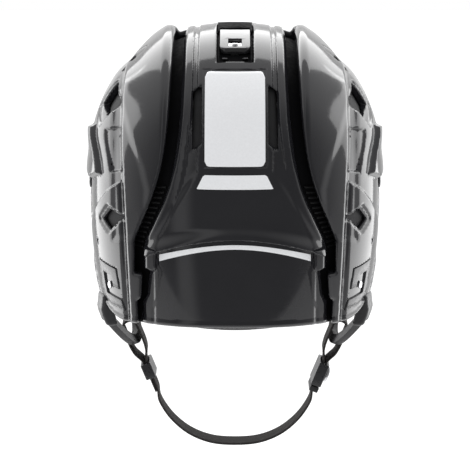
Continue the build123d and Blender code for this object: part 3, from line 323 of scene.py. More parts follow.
def front_shell(x, y, z):
    """The whole front shell: plate, sunk rim behind it, cage bosses and holes."""
    side, base = np.abs(x), form(x, y, z)
    outer = base - front_height(x, y, z)
    edge = both(outline(WING_EDGE, x, z), REAR_FRONT_EDGE - SEAM - y)
    plate = both(walled(outer, base), -edge, 3.0)
    rim = both(both(both(outer, -(base + FLANGE_BACK)), -edge, 3.0), flange_outline(x, y, z))
    shell = both(either(plate, rim), -lower_edge(y, z), RIM_ROUND)
    shell = both(shell, -vents(x, y, z), 1.6)
    boss = round_hole(side, z, (BOSS_SIDE, BOSS_LEVEL), BOSS_RADIUS)
    boss = both(boss, slab(y, BOSS_FRONT, BOSS_BACK), 1.0)
    hole = both(round_hole(side, z, (BOSS_SIDE, BOSS_LEVEL), BOSS_HOLE), y + 100)
    shell = both(either(shell, boss, 1.0), -hole, 0.6)
    for place in SCREW_PLACES:
        shell = both(shell, -both(round_hole(y, z, place, SCREW_HOLE), 60 - side))
    return shell


def rear_height(x, y, z):
    """How far the rear shell stands out from the head form."""
    side = np.abs(x)
    rail = np.abs(outline(SPINE_EDGE, x, z) + RAIL_MIDDLE) - RAIL_HALF
    # below the panel a bulged middle widens down to the ledge, between two slanting ridges
    slant = SLANT_START + np.clip(SLANT_TOP - z, 0, 60) * SLANT_SPREAD
    # the arched ledge is a slope out to a sharp lip
    arch = ARCH_TOP - ARCH_DROP * np.clip(side / ARCH_HALF, 0, 1.2) ** 2
    slope_share = np.clip((arch + 1.0 - z) / LEDGE_HEIGHT, 0, 1)
    ledge = slope_share * slope_share * (3 - 2 * slope_share) * ramp(arch - 9.4 - z, 1.2)
    # the lower wall is a flat middle with a soft fold each side, and a stepped edge
    fold = side - FOLD_SIDE + np.hypot(side - FOLD_SIDE, FOLD_ROUND)
    return sum((
        PANEL_RISE * ramp(side - PANEL_HALF, 1.4) * ramp(106.5 - z, 5.0),
        ramp(rail, 2.2) * (RAIL_RISE + LOW_RAIL_RISE * ramp(112 - z, 26)),
        -SEAT_DEPTH * ramp(outline(label_seat, x, z), 0.8),
        SLANT_RISE * ramp(side - slant, 5.0) * ramp(z - 101, 16.0),
        LEDGE_RISE * ledge,
        LUG_RISE * ramp(outline(lug, side, z), 1.6),
        -FOLD_SLOPE * fold * ramp(z - 52.0, 10.0),
        -STEP_DEPTH * ramp(outline(side_step, side, z), 3.4),
        REAR_RIM_RISE * ramp(np.abs(lower_edge(y, z) - 2.4) - 1.3, 2.4),
    ))


def rear_skin(x, y, z):
    """Distance from the rear shell's outer surface."""
    return form(x, y, z) - rear_height(x, y, z)


def rear_shell(x, y, z):
    """The whole rear shell with its vents and the latch's opening."""
    side = np.abs(x)
    edge = both(outline(SPINE_EDGE, x, z), REAR_FRONT_EDGE - y)
    shell = both(walled(rear_skin(x, y, z), form(x, y, z)), edge, 2.6)
    shell = both(shell, -lower_edge(y, z), RIM_ROUND)
    shell = both(shell, -both(outline(spine_vent, side, z), -y), 1.8)
    return both(shell, -both(slab(side, -1, LATCH_HALF), slab(y, LATCH_FRONT, LATCH_REAR)), 1.0)


# ---- meshes from distances ----

CORNERS = [(i, j, k) for i in (0, 1) for j in (0, 1) for k in (0, 1)]
TETRA = np.array([(1, 1, 1), (1, -1, -1), (-1, 1, -1), (-1, -1, 1)], float)
CELL_EDGES = [(a, b) for a in CORNERS for b in CORNERS
              if sum(b) - sum(a) == 1 and all(q >= p for p, q in zip(a, b))]
# fewest faces of a bit that stays, how much coarser quick meshes are, and the angle of a sharp edge
LOOSE_BELOW, COARSER, UNIT_COARSER, SHARP = 60, 1.7, 1.5, 60.0


def skin(shape, low, high, cell, mirrored=True):
    """Points and four-sided faces of the surface where a distance is zero."""
    axes = [np.arange(low[k], high[k] + cell, cell, dtype=np.float32) for k in range(3)]
    if mirrored:
        axes[0] = (np.arange(int(high[0] / cell) + 2, dtype=np.float32) + 0.5) * cell
    x, y, z = axes[0][:, None, None], axes[1][None, :, None], axes[2][None, None, :]
    values = np.asarray(shape(x, y, z), np.float32)
    if mirrored:
        values = np.concatenate([values[::-1], values])
        axes[0] = np.concatenate([-axes[0][::-1], axes[0]])
    inside = values < 0
    count = sum(
        inside[tuple(slice(at, size - 1 + at) for at, size in zip(corner, inside.shape))].astype(np.int8)
        for corner in CORNERS)
    active = (count > 0) & (count < 8)
    number = np.full(active.shape, -1, np.int64)
    number[active] = np.arange(int(active.sum()))
    cells = np.argwhere(active)
    total, crossed = np.zeros((len(cells), 3)), np.zeros((len(cells), 1))
    for a, b in CELL_EDGES:
        a, b = np.array(a), np.array(b)
        va, vb = values[tuple((cells + a).T)], values[tuple((cells + b).T)]
        hit = ((va < 0) != (vb < 0))[:, None]
        t = (va / np.where(va == vb, 1, va - vb))[:, None]
        total += np.where(hit, cells + a + t * (b - a), 0)
        crossed += hit
    places = total / crossed
    points = np.stack([np.interp(places[:, k], np.arange(len(axes[k])), axes[k]) for k in range(3)], 1)
    faces = []
    for d, (u, v) in ((0, (1, 2)), (1, (2, 0)), (2, (0, 1))):
        step = np.eye(3, dtype=int)
        first = np.take(inside, range(0, inside.shape[d] - 1), axis=d)
        second = np.take(inside, range(1, inside.shape[d]), axis=d)
        at = np.argwhere(first != second)
        at = at[(at[:, u] > 0) & (at[:, v] > 0) & (at[:, u] < active.shape[u]) & (at[:, v] < active.shape[v])]
        ring = np.stack([number[tuple((at - p * step[u] - q * step[v]).T)]
                         for p, q in ((0, 0), (1, 0), (1, 1), (0, 1))], 1)
        outward = first[tuple(at.T)]
        faces.append(np.where(outward[:, None], ring, ring[:, ::-1]))
    return points, np.concatenate(faces)


def edges_of(faces):
    """Both ends of every edge of four-sided faces."""
    return np.concatenate([faces[:, [k, (k + 1) % 4]] for k in range(4)])


def level_and_lean(shape, places, reach):
    """A shape's distance at some places and its slope there, from four points round each."""
    lean, level = np.zeros_like(places), np.zeros(len(places))
    for corner in TETRA:
        value = shape(*(places + reach * corner).T)
        lean += value[:, None] * corner
        level += value / 4
    return level, lean / (4 * reach)


def settle(points, faces, shape, cell, rounds=2):
    """Evens the mesh out and draws its points onto the exact surface."""
    ends = edges_of(faces)
    ends = np.concatenate([ends, ends[:, ::-1]])
    share = np.maximum(np.bincount(ends[:, 0], minlength=len(points)), 1)
    for _ in range(rounds):
        mean = np.stack([np.bincount(ends[:, 0], weights=points[ends[:, 1], k], minlength=len(points))
                         for k in range(3)], 1) / share[:, None]
        points = 0.45 * points + 0.55 * mean
        for _ in range(2):
            level, lean = level_and_lean(shape, points, 0.12)
            step = level[:, None] * lean / np.maximum((lean ** 2).sum(1), 0.15)[:, None]
            size = np.linalg.norm(step, axis=1)[:, None]
            points = points - step * np.minimum(1, cell * 0.6 / np.maximum(size, 1e-9))
    return points


def linked(name, data):
    """A new object in the scene."""
    made = bpy.data.objects.new(name, data)
    bpy.context.scene.collection.objects.link(made)
    return made


def edited(made, edit):
    """Runs one edit on an object's mesh."""
    bm = bmesh.new()
    bm.from_mesh(made.data)
    edit(bm)
    bm.to_mesh(made.data)
    bm.free()
    return made


def drop_loose(bm):
    """Removes the points that no face uses."""
    bmesh.ops.delete(bm, geom=[v for v in bm.verts if not v.link_faces], context="VERTS")


def face_out(bm):
    """Turns every face outward."""
    bmesh.ops.recalc_face_normals(bm, faces=bm.faces)


def weld_flats(bm):
    """Joins what coincides and drops the edges inside flat faces."""
    bmesh.ops.remove_doubles(bm, verts=bm.verts, dist=0.02 * MM)
    bmesh.ops.dissolve_limit(bm, angle_limit=math.radians(1.5), verts=bm.verts, edges=bm.edges)


def smoothed(made, sharp_from=None):
    """Smooth shading, but for edges sharper than some degrees."""
    made.data.polygons.foreach_set("use_smooth", [True] * len(made.data.polygons))
    if sharp_from:
        made.data.set_sharp_from_angle(angle=math.radians(sharp_from))
    return made


def mesh_object(name, points, faces):
    """A new smooth object from points in millimetres."""
    mesh = bpy.data.meshes.new(name)
    places = [tuple(place) for place in np.asarray(points) * MM]
    mesh.from_pydata(places, [], [tuple(int(at) for at in face) for face in faces])
    made = smoothed(linked(name, mesh))
    mesh.validate()
    mesh.update()
    return made


def moulded(name, shape, low, high, cell, mirrored=True):
    """A piece whose surface is where its distance is zero."""
    rounds = 2
    cell = cell
    points, faces = skin(shape, low, high, cell, mirrored)
    points = settle(points, faces, shape, cell, rounds)
    return edited(mesh_object(name, points, faces[large_bits(points, faces)]), drop_loose)


def shaded_by_slope(made, shape):
    """Shades a moulding by the slope of its own distance, which is smoother than its faces."""
    flat = np.empty(len(made.data.vertices) * 3, np.float32)
    made.data.vertices.foreach_get("co", flat)
    _, lean = level_and_lean(shape, flat.reshape(-1, 3).astype(float) / MM, 0.25)
    lean /= np.maximum(np.linalg.norm(lean, axis=1), 1e-9)[:, None]
    made.data.normals_split_custom_set_from_vertices([tuple(v) for v in lean])
    return made


def large_bits(points, faces):
    """Which faces belong to a connected bit that is large enough to be part of the piece."""
    label = np.arange(len(points))
    ends = edges_of(faces)
    while True:
        low = np.minimum(label[ends[:, 0]], label[ends[:, 1]])
        fresh = label.copy()
        np.minimum.at(fresh, ends[:, 0], low)
        np.minimum.at(fresh, ends[:, 1], low)
        fresh = fresh[fresh]
        if (fresh == label).all():
            break
        label = fresh
    count = np.bincount(label, minlength=len(points))
    return count[label[faces[:, 0]]] >= LOOSE_BELOW


def crossings(corners, level):
    """How far along the first axis an outline's sides cross a level on the second."""
    return [au + (bu - au) * (level - av) / (bv - av)
            for (au, av), (bu, bv) in zip(corners, corners[1:] + corners[:1]) if (av > level) != (bv > level)]


def slope(shape, place):
    """The outward direction of a distance at one place."""
    steps = np.eye(3) * 0.2
    lean = [shape(*(np.array(place) + step)) - shape(*(np.array(place) - step)) for step in steps]
    return Vector([float(v) for v in lean]).normalized()


def cast_to_skin(shape, x, z, stand):
    """The y at which a line of sight from behind meets a skin, stood off by a distance."""
    y = np.full(np.shape(x), 150.0)
    for _ in range(60):
        y = y - np.clip((shape(x, y, z) - stand) * 0.85, -4, 4)
    return y


def seat_behind(x, z, depth):
    """Where a line of sight from behind meets the form, at a depth under it, and the direction there."""
    y = float(cast_to_skin(form, np.array([float(x)]), np.array([float(z)]), -depth)[0])
    return y, slope(form, (x, y, z))


def seat_beside(y, z):
    """The same on the form's left side, seen from that side."""
    x = 130.0
    for _ in range(80):
        x -= float(np.clip(form(np.float64(x), y, z), -4, 4)) * 0.9
    return x, slope(form, (x, y, z))


def frame_of(normal, across):
    """A turn whose Z is the normal and whose X is nearest to a direction."""
    z = normal.normalized()
    x = (across - z * across.dot(z)).normalized()
    return Matrix((x, z.cross(x), z)).transposed()


def small_part(name, shape, low, high, cell):
    """A small shape round its own origin, for repeating."""
    points, faces = skin(shape, low, high, cell * (1), False)
    return mesh_object(name, settle(points, faces, shape, cell, 1), faces)


class Graph:
    """A node tree that is written a node at a time."""

    def __init__(self, tree):
        self.tree = tree

    def wire(self, node, inputs):
        """Sets a node's inputs, each to a plain value or to another node's output."""
        for socket, value in inputs.items():
            if isinstance(value, bpy.types.NodeSocket):
                self.tree.links.new(value, node.inputs[socket])
            else:
                node.inputs[socket].default_value = value

    def add(self, kind, inputs=None, **settings):
        """A new node with its settings and inputs."""
        node = self.tree.nodes.new(kind)
        for name, value in settings.items():
            setattr(node, name, value)
        self.wire(node, inputs or {})
        return node

    def spread(self, value, low, high, from_low=0.3, from_high=0.7, kind="LINEAR"):
        """Maps a value to a range."""
        values = {"Value": value, "From Min": from_low, "From Max": from_high, "To Min": low, "To Max": high}
        return self.add("ShaderNodeMapRange", values, interpolation_type=kind).outputs["Result"]

    def reckon(self, operation, *values):
        """One sum on plain values and outputs."""
        return self.add("ShaderNodeMath", dict(enumerate(values)), operation=operation).outputs["Value"]


def repeat_group():
    """The node group that puts a unit piece on every point, turned by the point's own value."""
    group = bpy.data.node_groups.new("repeated piece", "GeometryNodeTree")
    for name, kind in (("Places", "Geometry"), ("Unit", "Object"), ("Size", "Float"), ("Finish", "Material")):
        group.interface.new_socket(name, in_out="INPUT", socket_type="NodeSocket" + kind)
    group.interface.new_socket("Pieces", in_out="OUTPUT", socket_type="NodeSocketGeometry")
    add = Graph(group).add
    start = add("NodeGroupInput").outputs
    unit = add("GeometryNodeObjectInfo", {"Object": start["Unit"]}).outputs["Geometry"]
    turn = add("GeometryNodeInputNamedAttribute", {"Name": "turn"}, data_type="FLOAT_VECTOR")
    turn = add("FunctionNodeEulerToRotation", {"Euler": turn.outputs["Attribute"]}).outputs["Rotation"]
    copies = add("GeometryNodeInstanceOnPoints", {
        "Points": start["Places"], "Instance": unit, "Rotation": turn, "Scale": start["Size"]})
    real = add("GeometryNodeRealizeInstances", {"Geometry": copies.outputs["Instances"]}).outputs["Geometry"]
    paint = add("GeometryNodeSetMaterial", {"Geometry": real, "Material": start["Finish"]})
    add("NodeGroupOutput", {"Pieces": paint.outputs["Geometry"]})
    return group


def repeated(name, unit, places, finish_name):
    """One piece made of copies of a unit at some places, each (place, turn)."""
    mesh = bpy.data.meshes.new(name)
    mesh.from_pydata([tuple(v * MM for v in place) for place, _ in places], [], [])
    turns = mesh.attributes.new("turn", "FLOAT_VECTOR", "POINT")
    turns.data.foreach_set("vector", [v for _, turn in places for v in turn.to_euler()])
    made = linked(name, mesh)
    group = bpy.data.node_groups.get("repeated piece") or repeat_group()
    modifier = made.modifiers.new("repeat", "NODES")
    modifier.node_group = group
    values = {"Unit": unit, "Size": 1.0, "Finish": bpy.data.materials[finish_name]}
    for item in group.interface.items_tree:
        if item.in_out == "INPUT" and item.name in values:
            modifier[item.identifier] = values[item.name]
    apply_modifiers(made)
    bpy.data.objects.remove(unit)
    return smoothed(made)


def flipped(made, name):
    """The same piece on the other side of the helmet."""
    mesh = made.data.copy()
    mesh.name = name
    mesh.transform(Matrix.Scale(-1, 4, (1, 0, 0)))
    mesh.flip_normals()
    return linked(name, mesh)


def eased_copy(node, name, width, segments):
    """A CAD node's shape with its edges rounded."""
    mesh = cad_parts[node].data.copy()
    mesh.name = name
    mesh.materials.clear()
    made = edited(linked(name, mesh), weld_flats)
    bevel = made.modifiers.new("ease", "BEVEL")
    bevel.width, bevel.segments = width * MM, segments
    bevel.limit_method, bevel.angle_limit = "ANGLE", math.radians(32.0)
    bevel.harden_normals = False
    return smoothed(apply_modifiers(made), 50.0)


def apply_modifiers(made):
    """Turns the modified shape into a plain mesh."""
    bpy.context.view_layer.update()
    result = bpy.data.meshes.new_from_object(made.evaluated_get(bpy.context.evaluated_depsgraph_get()))
    made.modifiers.clear()
    result.name = made.name
    made.data = result
    return made


# ---- finishes ----

class Finish(Graph):
    """A new material's node tree, in Object coordinates."""

    def __init__(self, name, base, roughness, **sockets):
        self.material = bpy.data.materials.new(name)
        self.material.use_nodes = True
        super().__init__(self.material.node_tree)
        self.place = self.add("ShaderNodeTexCoord").outputs["Object"]
        self.show(Base_Color=(*base, 1), Roughness=roughness, **sockets)

    def show(self, **sockets):
        """Sets the shader's inputs, whose names have a space where the word here has an underscore."""
        shader = self.tree.nodes["Principled BSDF"]
        self.wire(shader, {name.replace("_", " "): value for name, value in sockets.items()})

    def noise(self, scale, detail=3.0, rough=0.5, stretch=None):
        """A cloudy value, finer with a larger scale."""
        place = self.place
        if stretch:
            place = self.add("ShaderNodeMapping", {"Vector": place, "Scale": stretch}).outputs["Vector"]
        values = {"Vector": place, "Scale": scale, "Detail": detail, "Roughness": rough}
        return self.add("ShaderNodeTexNoise", values).outputs["Fac"]

    def cells(self, scale):
        """How far a place is from the middle of its small cell."""
        return self.add("ShaderNodeTexVoronoi", {"Vector": self.place, "Scale": scale}).outputs["Distance"]

    def tint(self, value, dark, light):
        """Colours the surface between two colours by a value."""
        values = {"Factor": value, "A": (*dark, 1), "B": (*light, 1)}
        self.show(Base_Color=self.add("ShaderNodeMix", values, data_type="RGBA").outputs["Result"])

    def wear(self, value, low, high, *between):
        """Varies the roughness over a range by a value."""
        self.show(Roughness=self.spread(value, low, high, *between))

    def relief(self, value, strength, distance, **below):
        """Bumps the surface by a value, a distance in millimetres high at full strength."""
        values = {"Height": value, "Strength": strength, "Distance": distance * MM, **below}
        normal = self.add("ShaderNodeBump", values).outputs["Normal"]
        self.show(Normal=normal)
        return normal


def shades(colour, *shares):
    """Darker and lighter shades of a colour."""
    return [[channel * share for channel in colour] for share in shares]


def lifted(colour, lift):
    """A colour a third brighter, with a little added."""
    return [channel * 1.3 + lift for channel in colour]


def gloss_shell_finish(colour, polish):
    """Moulded plastic, nearly a mirror, with fine scuffs and a slow wave in its surface."""
    made = Finish("gloss shell", colour, polish, IOR=1.5)
    made.wear(made.noise(260, 4, 0.6, (1, 0.25, 3)), polish * 0.8, polish * 1.9, 0.35, 0.8)
    made.tint(made.noise(35), colour, lifted(colour, 0.001))
    fine = made.relief(made.noise(900, 2), 0.08, 0.02)
    made.relief(made.noise(45, 2), 0.06, 0.10, Normal=fine)


def foam_finish(colour):
    """Closed cell foam."""
    made = Finish("closed cell foam", colour, 0.85)
    made.tint(made.noise(120, 4), *shades(colour, 1, 1.7))
    made.relief(made.cells(900), 0.35, 0.25)


def pad_finish(colour):
    """Brushed cloth over foam."""
    made = Finish("brushed pad", colour, 0.95, Sheen_Weight=0.4, Sheen_Roughness=0.4)
    made.tint(made.noise(90, 5), *shades(colour, 1, 1.35))
    made.relief(made.noise(1400, 3, 0.7), 0.5, 0.3)


def satin_finish(name, colour, rough, shine=0.5):
    """Moulded black plastic with an even grain."""
    made = Finish(name, colour, rough, Specular_IOR_Level=shine)
    made.wear(made.noise(300, 4), rough * 0.85, rough * 1.25)
    made.tint(made.noise(50), colour, lifted(colour, 0.002))
    made.relief(made.noise(1800, 2), 0.16, 0.06)


def metal_finish(name, colour, rough):
    """Metal with brush marks."""
    made = Finish(name, colour, rough, Metallic=1.0)
    brushed = made.noise(500, 4, 0.6, (0.2, 1, 4))
    made.wear(brushed, rough * 0.7, rough * 1.4)
    made.tint(made.noise(180, 4), *shades(colour, 0.8, 1))
    made.relief(brushed, 0.12, 0.04)


def clear_finish(colour):
    """Clear plastic with faint scuffs."""
    made = Finish("clear guard", colour, 0.06, IOR=1.49, Transmission_Weight=0.94)
    made.wear(made.noise(220, 4), 0.03, 0.12)
    made.relief(made.noise(40, 2), 0.08, 0.2)


def rubber_finish(colour):
    """Dull rubber."""
    made = Finish("loop rubber", colour, 0.55, Specular_IOR_Level=0.35)
    made.tint(made.noise(160, 5), *shades(colour, 0.75, 1.25))
    made.relief(made.noise(1500), 0.3, 0.12)


def webbing_finish(colour):
    """Woven tape: rows of yarn from the tape's own UV map, in millimetres."""
    made = Finish("woven webbing", colour, 0.85, Specular_IOR_Level=0.2)
    strip = made.add("ShaderNodeUVMap", uv_map="tape").outputs["UV"]
    waves = []
    for direction, scale in (("X", 0.55), ("Y", 0.42)):
        values = {"Vector": strip, "Scale": scale, "Distortion": 0.4, "Detail": 1.0}
        waves.append(made.add("ShaderNodeTexWave", values, bands_direction=direction).outputs["Fac"])
    weave = made.reckon("MULTIPLY", *waves)
    made.tint(weave, *shades(colour, 0.55, 1.6))
    made.relief(weave, 0.8, 0.25)


def film_finish(colour):
    """White film of small bright cells under a clear coat."""
    made = Finish("reflective film", colour, 0.32, Coat_Weight=0.3, Coat_Roughness=0.1)
    made.tint(made.cells(700), colour, [min(channel * 1.06, 0.95) for channel in colour])
    made.relief(made.noise(70), 0.08, 0.05)


def dress(made, finish_name, body, slot, *nodes):
    """Gives a piece its finish and its body, and hides the CAD nodes that it stands for; its record slot is
    not used.
    """
    made.data.materials.clear()
    made.data.materials.append(bpy.data.materials[finish_name])
    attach(made, body)
    if nodes:
        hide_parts(*nodes)


def dress_pair(left, name, finish_name, slot, node):
    """Dresses a piece of the front body and its twin on the other side."""
    for made, side in ((left, "left"), (flipped(left, f"{name}_right"), "right")):
        dress(made, finish_name, "front", slot, f"{node}_{side}")


def dress_copies(segments, *rows):
    """Replaces CAD nodes by eased copies; a row is node, piece, edge width, finish, body and slot."""
    for node, name, width, finish_name, body, slot in rows:
        dress(eased_copy(node, name, width, segments), finish_name, body, slot, node)


# ---- values a user would change ----

class HelmetFinishes(bpy.types.PropertyGroup):
    shell_colour: bpy.props.FloatVectorProperty(
        name="Shell colour", description="Colour of both moulded shells",
        default=(0.012, 0.012, 0.014), size=3, subtype="COLOR")
    shell_polish: bpy.props.FloatProperty(
        name="Shell roughness", description="0 is a mirror, 1 is chalk", default=0.085, min=0.01, max=1.0,
        subtype="FACTOR")
    webbing_colour: bpy.props.FloatVectorProperty(
        name="Webbing colour", description="Colour of the chin strap",
        default=(0.034, 0.031, 0.030), size=3, subtype="COLOR")
    pad_colour: bpy.props.FloatVectorProperty(
        name="Pad colour", description="Colour of the comfort pads",
        default=(0.11, 0.11, 0.12), size=3, subtype="COLOR")
    film_colour: bpy.props.FloatVectorProperty(
        name="Film colour", description="Colour of the label plate and stripes",
        default=(0.85, 0.86, 0.88), size=3, subtype="COLOR")


class HelmetSizes(bpy.types.PropertyGroup):
    shell_cell: bpy.props.FloatProperty(
        name="Shell mesh size", description="Width of the shells' mesh, in millimetres", default=1.6, min=0.8,
        max=6.0)
    foam_cell: bpy.props.FloatProperty(
        name="Foam mesh size", description="Width of the foam's mesh, in millimetres", default=2.6, min=1.5,
        max=8.0)
    floor_drop: bpy.props.FloatProperty(
        name="Floor height", description="Height of the floor under the origin", default=-0.95, unit="LENGTH")


def finishes():
    """The user's colours."""
    return bpy.context.scene.helmet_finishes


def sizes():
    """The user's sizes."""
    return bpy.context.scene.helmet_sizes


# ---- pieces ----

# Half of a tape's section, from edge to edge, in shares of its half width and half wall
TAPE_ACROSS_SHARES = (-1.0, -0.965, -0.9, -0.6, -0.3, 0, 0.3, 0.6, 0.9, 0.965, 1.0)
TAPE_HEIGHT_SHARES = (0, 0.75, 1, 0.94, 0.96, 1, 0.96, 0.94, 1, 0.75, 0)


def tape(name, route, width, wall, centre):
    """A flat tape with round edges along a path in an upright plane, mapped in millimetres."""
    path = np.array(flowing(route, 8))
    path = path[np.concatenate([[True], np.linalg.norm(np.diff(path, axis=0), axis=1) > 0.05])]
    ahead = np.gradient(path, axis=0)
    ahead /= np.linalg.norm(ahead, axis=1)[:, None]
    run = np.concatenate([[0], np.cumsum(np.linalg.norm(np.diff(path, axis=0), axis=1))])
    half, rise = width / 2, wall / 2
    section = [(a * half, h * rise) for a, h in zip(TAPE_ACROSS_SHARES, TAPE_HEIGHT_SHARES)]
    section += [(a, -h) for a, h in reversed(section[1:-1])]
    count, last = len(section), len(section) * (len(path) - 1)
    points = [(p[0] - d[1] * h, centre + a, p[1] + d[0] * h) for p, d in zip(path, ahead) for a, h in section]
    faces = [(row + k, row + (k + 1) % count, row + count + (k + 1) % count, row + count + k)
             for row in range(0, last, count) for k in range(count)]
    faces += [range(count), range(last + count - 1, last - 1, -1)]
    made = mesh_object(name, points, faces)
    marks = [(run[at // count], section[at % count][0]) for face in faces for at in face]
    made.data.uv_layers.new(name="tape").data.foreach_set("uv", [v for mark in marks for v in mark])
    return smoothed(edited(made, face_out), SHARP)


def film_patch(name, corners):
    """A thin film on the rear shell, inside an outline drawn in the rear view, in columns of cells."""
    us, vs = np.array(corners).T
    columns, rows = (max(2, int(round((values.max() - values.min()) / FILM_CELL))) for values in (us, vs))
    turned, hair = [(v, u) for u, v in corners], 1e-4
    places = []
    for x in np.linspace(us.min(), us.max(), columns + 1):
        hits = crossings(turned, min(max(x, us.min() + hair), us.max() - hair))
        low, high = min(hits), max(hits)
        places += [(x, low + (high - low) * row / rows) for row in range(rows + 1)]
    x, z = np.array(places).T
    sides = [np.stack([x, cast_to_skin(rear_skin, x, z, out), z], 1)
             for out in (FILM_STAND + FILM_WALL, FILM_STAND)]
    grid, under = np.arange(len(places)).reshape(columns + 1, rows + 1), len(places)
    cells = np.stack([grid[:-1, :-1], grid[:-1, 1:], grid[1:, 1:], grid[1:, :-1]], -1).reshape(-1, 4)
    rim = [*grid[:, 0], *grid[-1, 1:], *grid[-2::-1, -1], *grid[0, -2:0:-1]]
    faces = [*cells, *(cells[:, ::-1] + under)]
    faces += [(a, b, under + b, under + a) for a, b in zip(rim, rim[1:] + rim[:1])]
    return smoothed(edited(mesh_object(name, np.concatenate(sides), faces), face_out), SHARP)


def rounded_corners(low, high, radius, steps=6):
    """A rectangle with round corners, as an outline."""
    (x0, z0), (x1, z1) = low, high
    made = []
    for cx, cz, start in ((x1 - radius, z0 + radius, 270), (x1 - radius, z1 - radius, 0),
                          (x0 + radius, z1 - radius, 90), (x0 + radius, z0 + radius, 180)):
        for step in range(steps + 1):
            turn = math.radians(start + 90 * step / steps)
            made.append((cx + radius * math.cos(turn), cz + radius * math.sin(turn)))
    return made


class HELMET_OT_finishes(bpy.types.Operator):
    """Make every finish"""
    bl_idname = "helmet.finishes"
    bl_label = "Finishes"

    def execute(self, context):
        f = finishes()
        gloss_shell_finish(list(f.shell_colour), f.shell_polish)
        foam_finish([0.012, 0.012, 0.013])
        pad_finish(list(f.pad_colour))
        satin_finish("satin black", [0.016, 0.016, 0.018], 0.28)
        # real black plastic made darker and nearly without reflection: painted shade in the sunk slot's track
        # and the latch's recess
        satin_finish("matt black", [0.003, 0.003, 0.0035], 0.7, 0.03)
        # the rungs' black plastic, darkened further as painted shade of the slot that they sit in
        satin_finish("dull black", [0.004, 0.004, 0.0045], 0.45, 0.2)
        satin_finish("latch gloss", [0.012, 0.012, 0.013], 0.10, 0.9)
        satin_finish("clip plastic", [0.022, 0.022, 0.024], 0.36)
        metal_finish("plated steel", [0.68, 0.68, 0.70], 0.22)
        metal_finish("black zinc", [0.09, 0.09, 0.095], 0.30)
        clear_finish([0.80, 0.93, 0.94])
        rubber_finish([0.022, 0.022, 0.024])
        webbing_finish(list(f.webbing_colour))
        film_finish(list(f.film_colour))
        return {"FINISHED"}


class HELMET_OT_front_shell(bpy.types.Operator):
    """Mould the front shell with its wings, bumps, vents and flange"""
    bl_idname = "helmet.front_shell"
    bl_label = "Front shell"

    def execute(self, context):
        cell = sizes().shell_cell
        made = moulded("front_shell_moulding", front_shell, (-112, -140, -16), (112, 128, 196), cell)
        dress(shaded_by_slope(made, front_shell), "gloss shell", "front", "shell", "front_shell")
        track = moulded("front_shell_track", flange, (-76, -50, -16), (76, 124, 180), cell)
        # the track's near-black, unreflecting finish is painted shade of the sunk slot
        dress(track, "matt black", "front", "shell", "front_shell")
        self.rungs()
        return {"FINISHED"}

    @staticmethod
    def rung(x, y, z):
        """One low bar round its own middle."""
        bar = both(np.abs(x) - RUNG_HALF, np.abs(y) - RUNG_THIN_HALF, 0.6)
        return both(bar, np.abs(z) - RUNG_DEEP_HALF, 0.6)

    def rungs(self):
        """Low bars across the slot between the shells, below its bend."""
        unit = small_part("rung_unit", self.rung, (-5, -2, -2), (5, 2, 2), RUNG_CELL)
        places = []
        for z in np.arange(RUNG_LOW, RUNG_HIGH, RUNG_PITCH):
            middle = (max(crossings(SPINE_EDGE, z)) + max(crossings(WING_EDGE, z))) / 2
            for side in (1, -1):
                y, normal = seat_behind(side * middle, z, FLANGE_DEPTH)
                places.append(((side * middle, y, z), frame_of(normal, Vector((side, 0, 0)))))
        # the rungs' darker finish is painted shade of the slot
        made = repeated("track_rungs", unit, places, "dull black")
        dress(made, "dull black", "front", "shell", "front_shell")


class HELMET_OT_rear_shell(bpy.types.Operator):
    """Mould the rear shell with its panel, rails, ledge and lower wall"""
    bl_idname = "helmet.rear_shell"
    bl_label = "Rear shell"

    def execute(self, context):
        cell = sizes().shell_cell * REAR_FINER
        made = moulded("rear_shell_moulding", rear_shell, (-68, -34, -14), (68, 134, 190), cell)
        dress(shaded_by_slope(made, rear_shell), "gloss shell", "rear", "shell", "rear_shell")
        return {"FINISHED"}


class HELMET_OT_white_panels(bpy.types.Operator):
    """Lay the blank label plate and the two stripes on the rear shell"""
    bl_idname = "helmet.white_panels"
    bl_label = "White panels"

    def execute(self, context):
        label = rounded_corners((-LABEL_HALF, LABEL_FOOT), (LABEL_HALF, LABEL_TOP), LABEL_CORNER)
        arc = [(BAND_HALF * t, BAND_TOP - BAND_SAG * t * t) for t in np.linspace(-1, 1, 25)]
        band = arc + [(x, z - BAND_HEIGHT - BAND_GROWTH * (abs(x) / BAND_HALF) ** 2)
                      for x, z in reversed(arc)]
        for name, corners, node in (("label_plate_film", label, "label_panel"),
                                    ("upper_stripe_film", upper_stripe, "upper_stripe"),
                                    ("lower_stripe_film", band, "lower_stripe")):
            dress(film_patch(name, corners), "reflective film", "rear", "white", node)
        return {"FINISHED"}


# ---- foam ----

def foam_piece(low_depth, region):
    """A foam layer under the head form, from a depth down to the liners' inner face, cut to a region."""
    def shape(x, y, z):
        base = form(x, y, z)
        return both(layer(base, low_depth, LINER_DEPTH, FOAM_ROUND), region(x, y, z), FOAM_ROUND)
    return shape


def front_region(x, y, z):
    """Front of the shells' seam, clear of the cage bosses, with two grooves inside."""
    side = np.abs(x)
    pocket = both(round_hole(side, z, (BOSS_SIDE, BOSS_LEVEL), 8.0), slab(y, -140, -104))
    groove = both(np.abs(side - 34) - 1.6, -form(x, y, z) - 17.5)
    region = both(within(y - FRONT_FOAM_END, -lower_edge(y, z, FOAM_LIFT)), -pocket, 2.0)
    return both(region, -both(groove, y + 60), 1.0)


def crown_region(x, y, z):
    """Under the crown, between the front and rear foam."""
    return within(outline(SPINE_EDGE, x, z) + 8.4, slab(y, FOAM_SEAM, CROWN_FOAM_END), 70 - z)


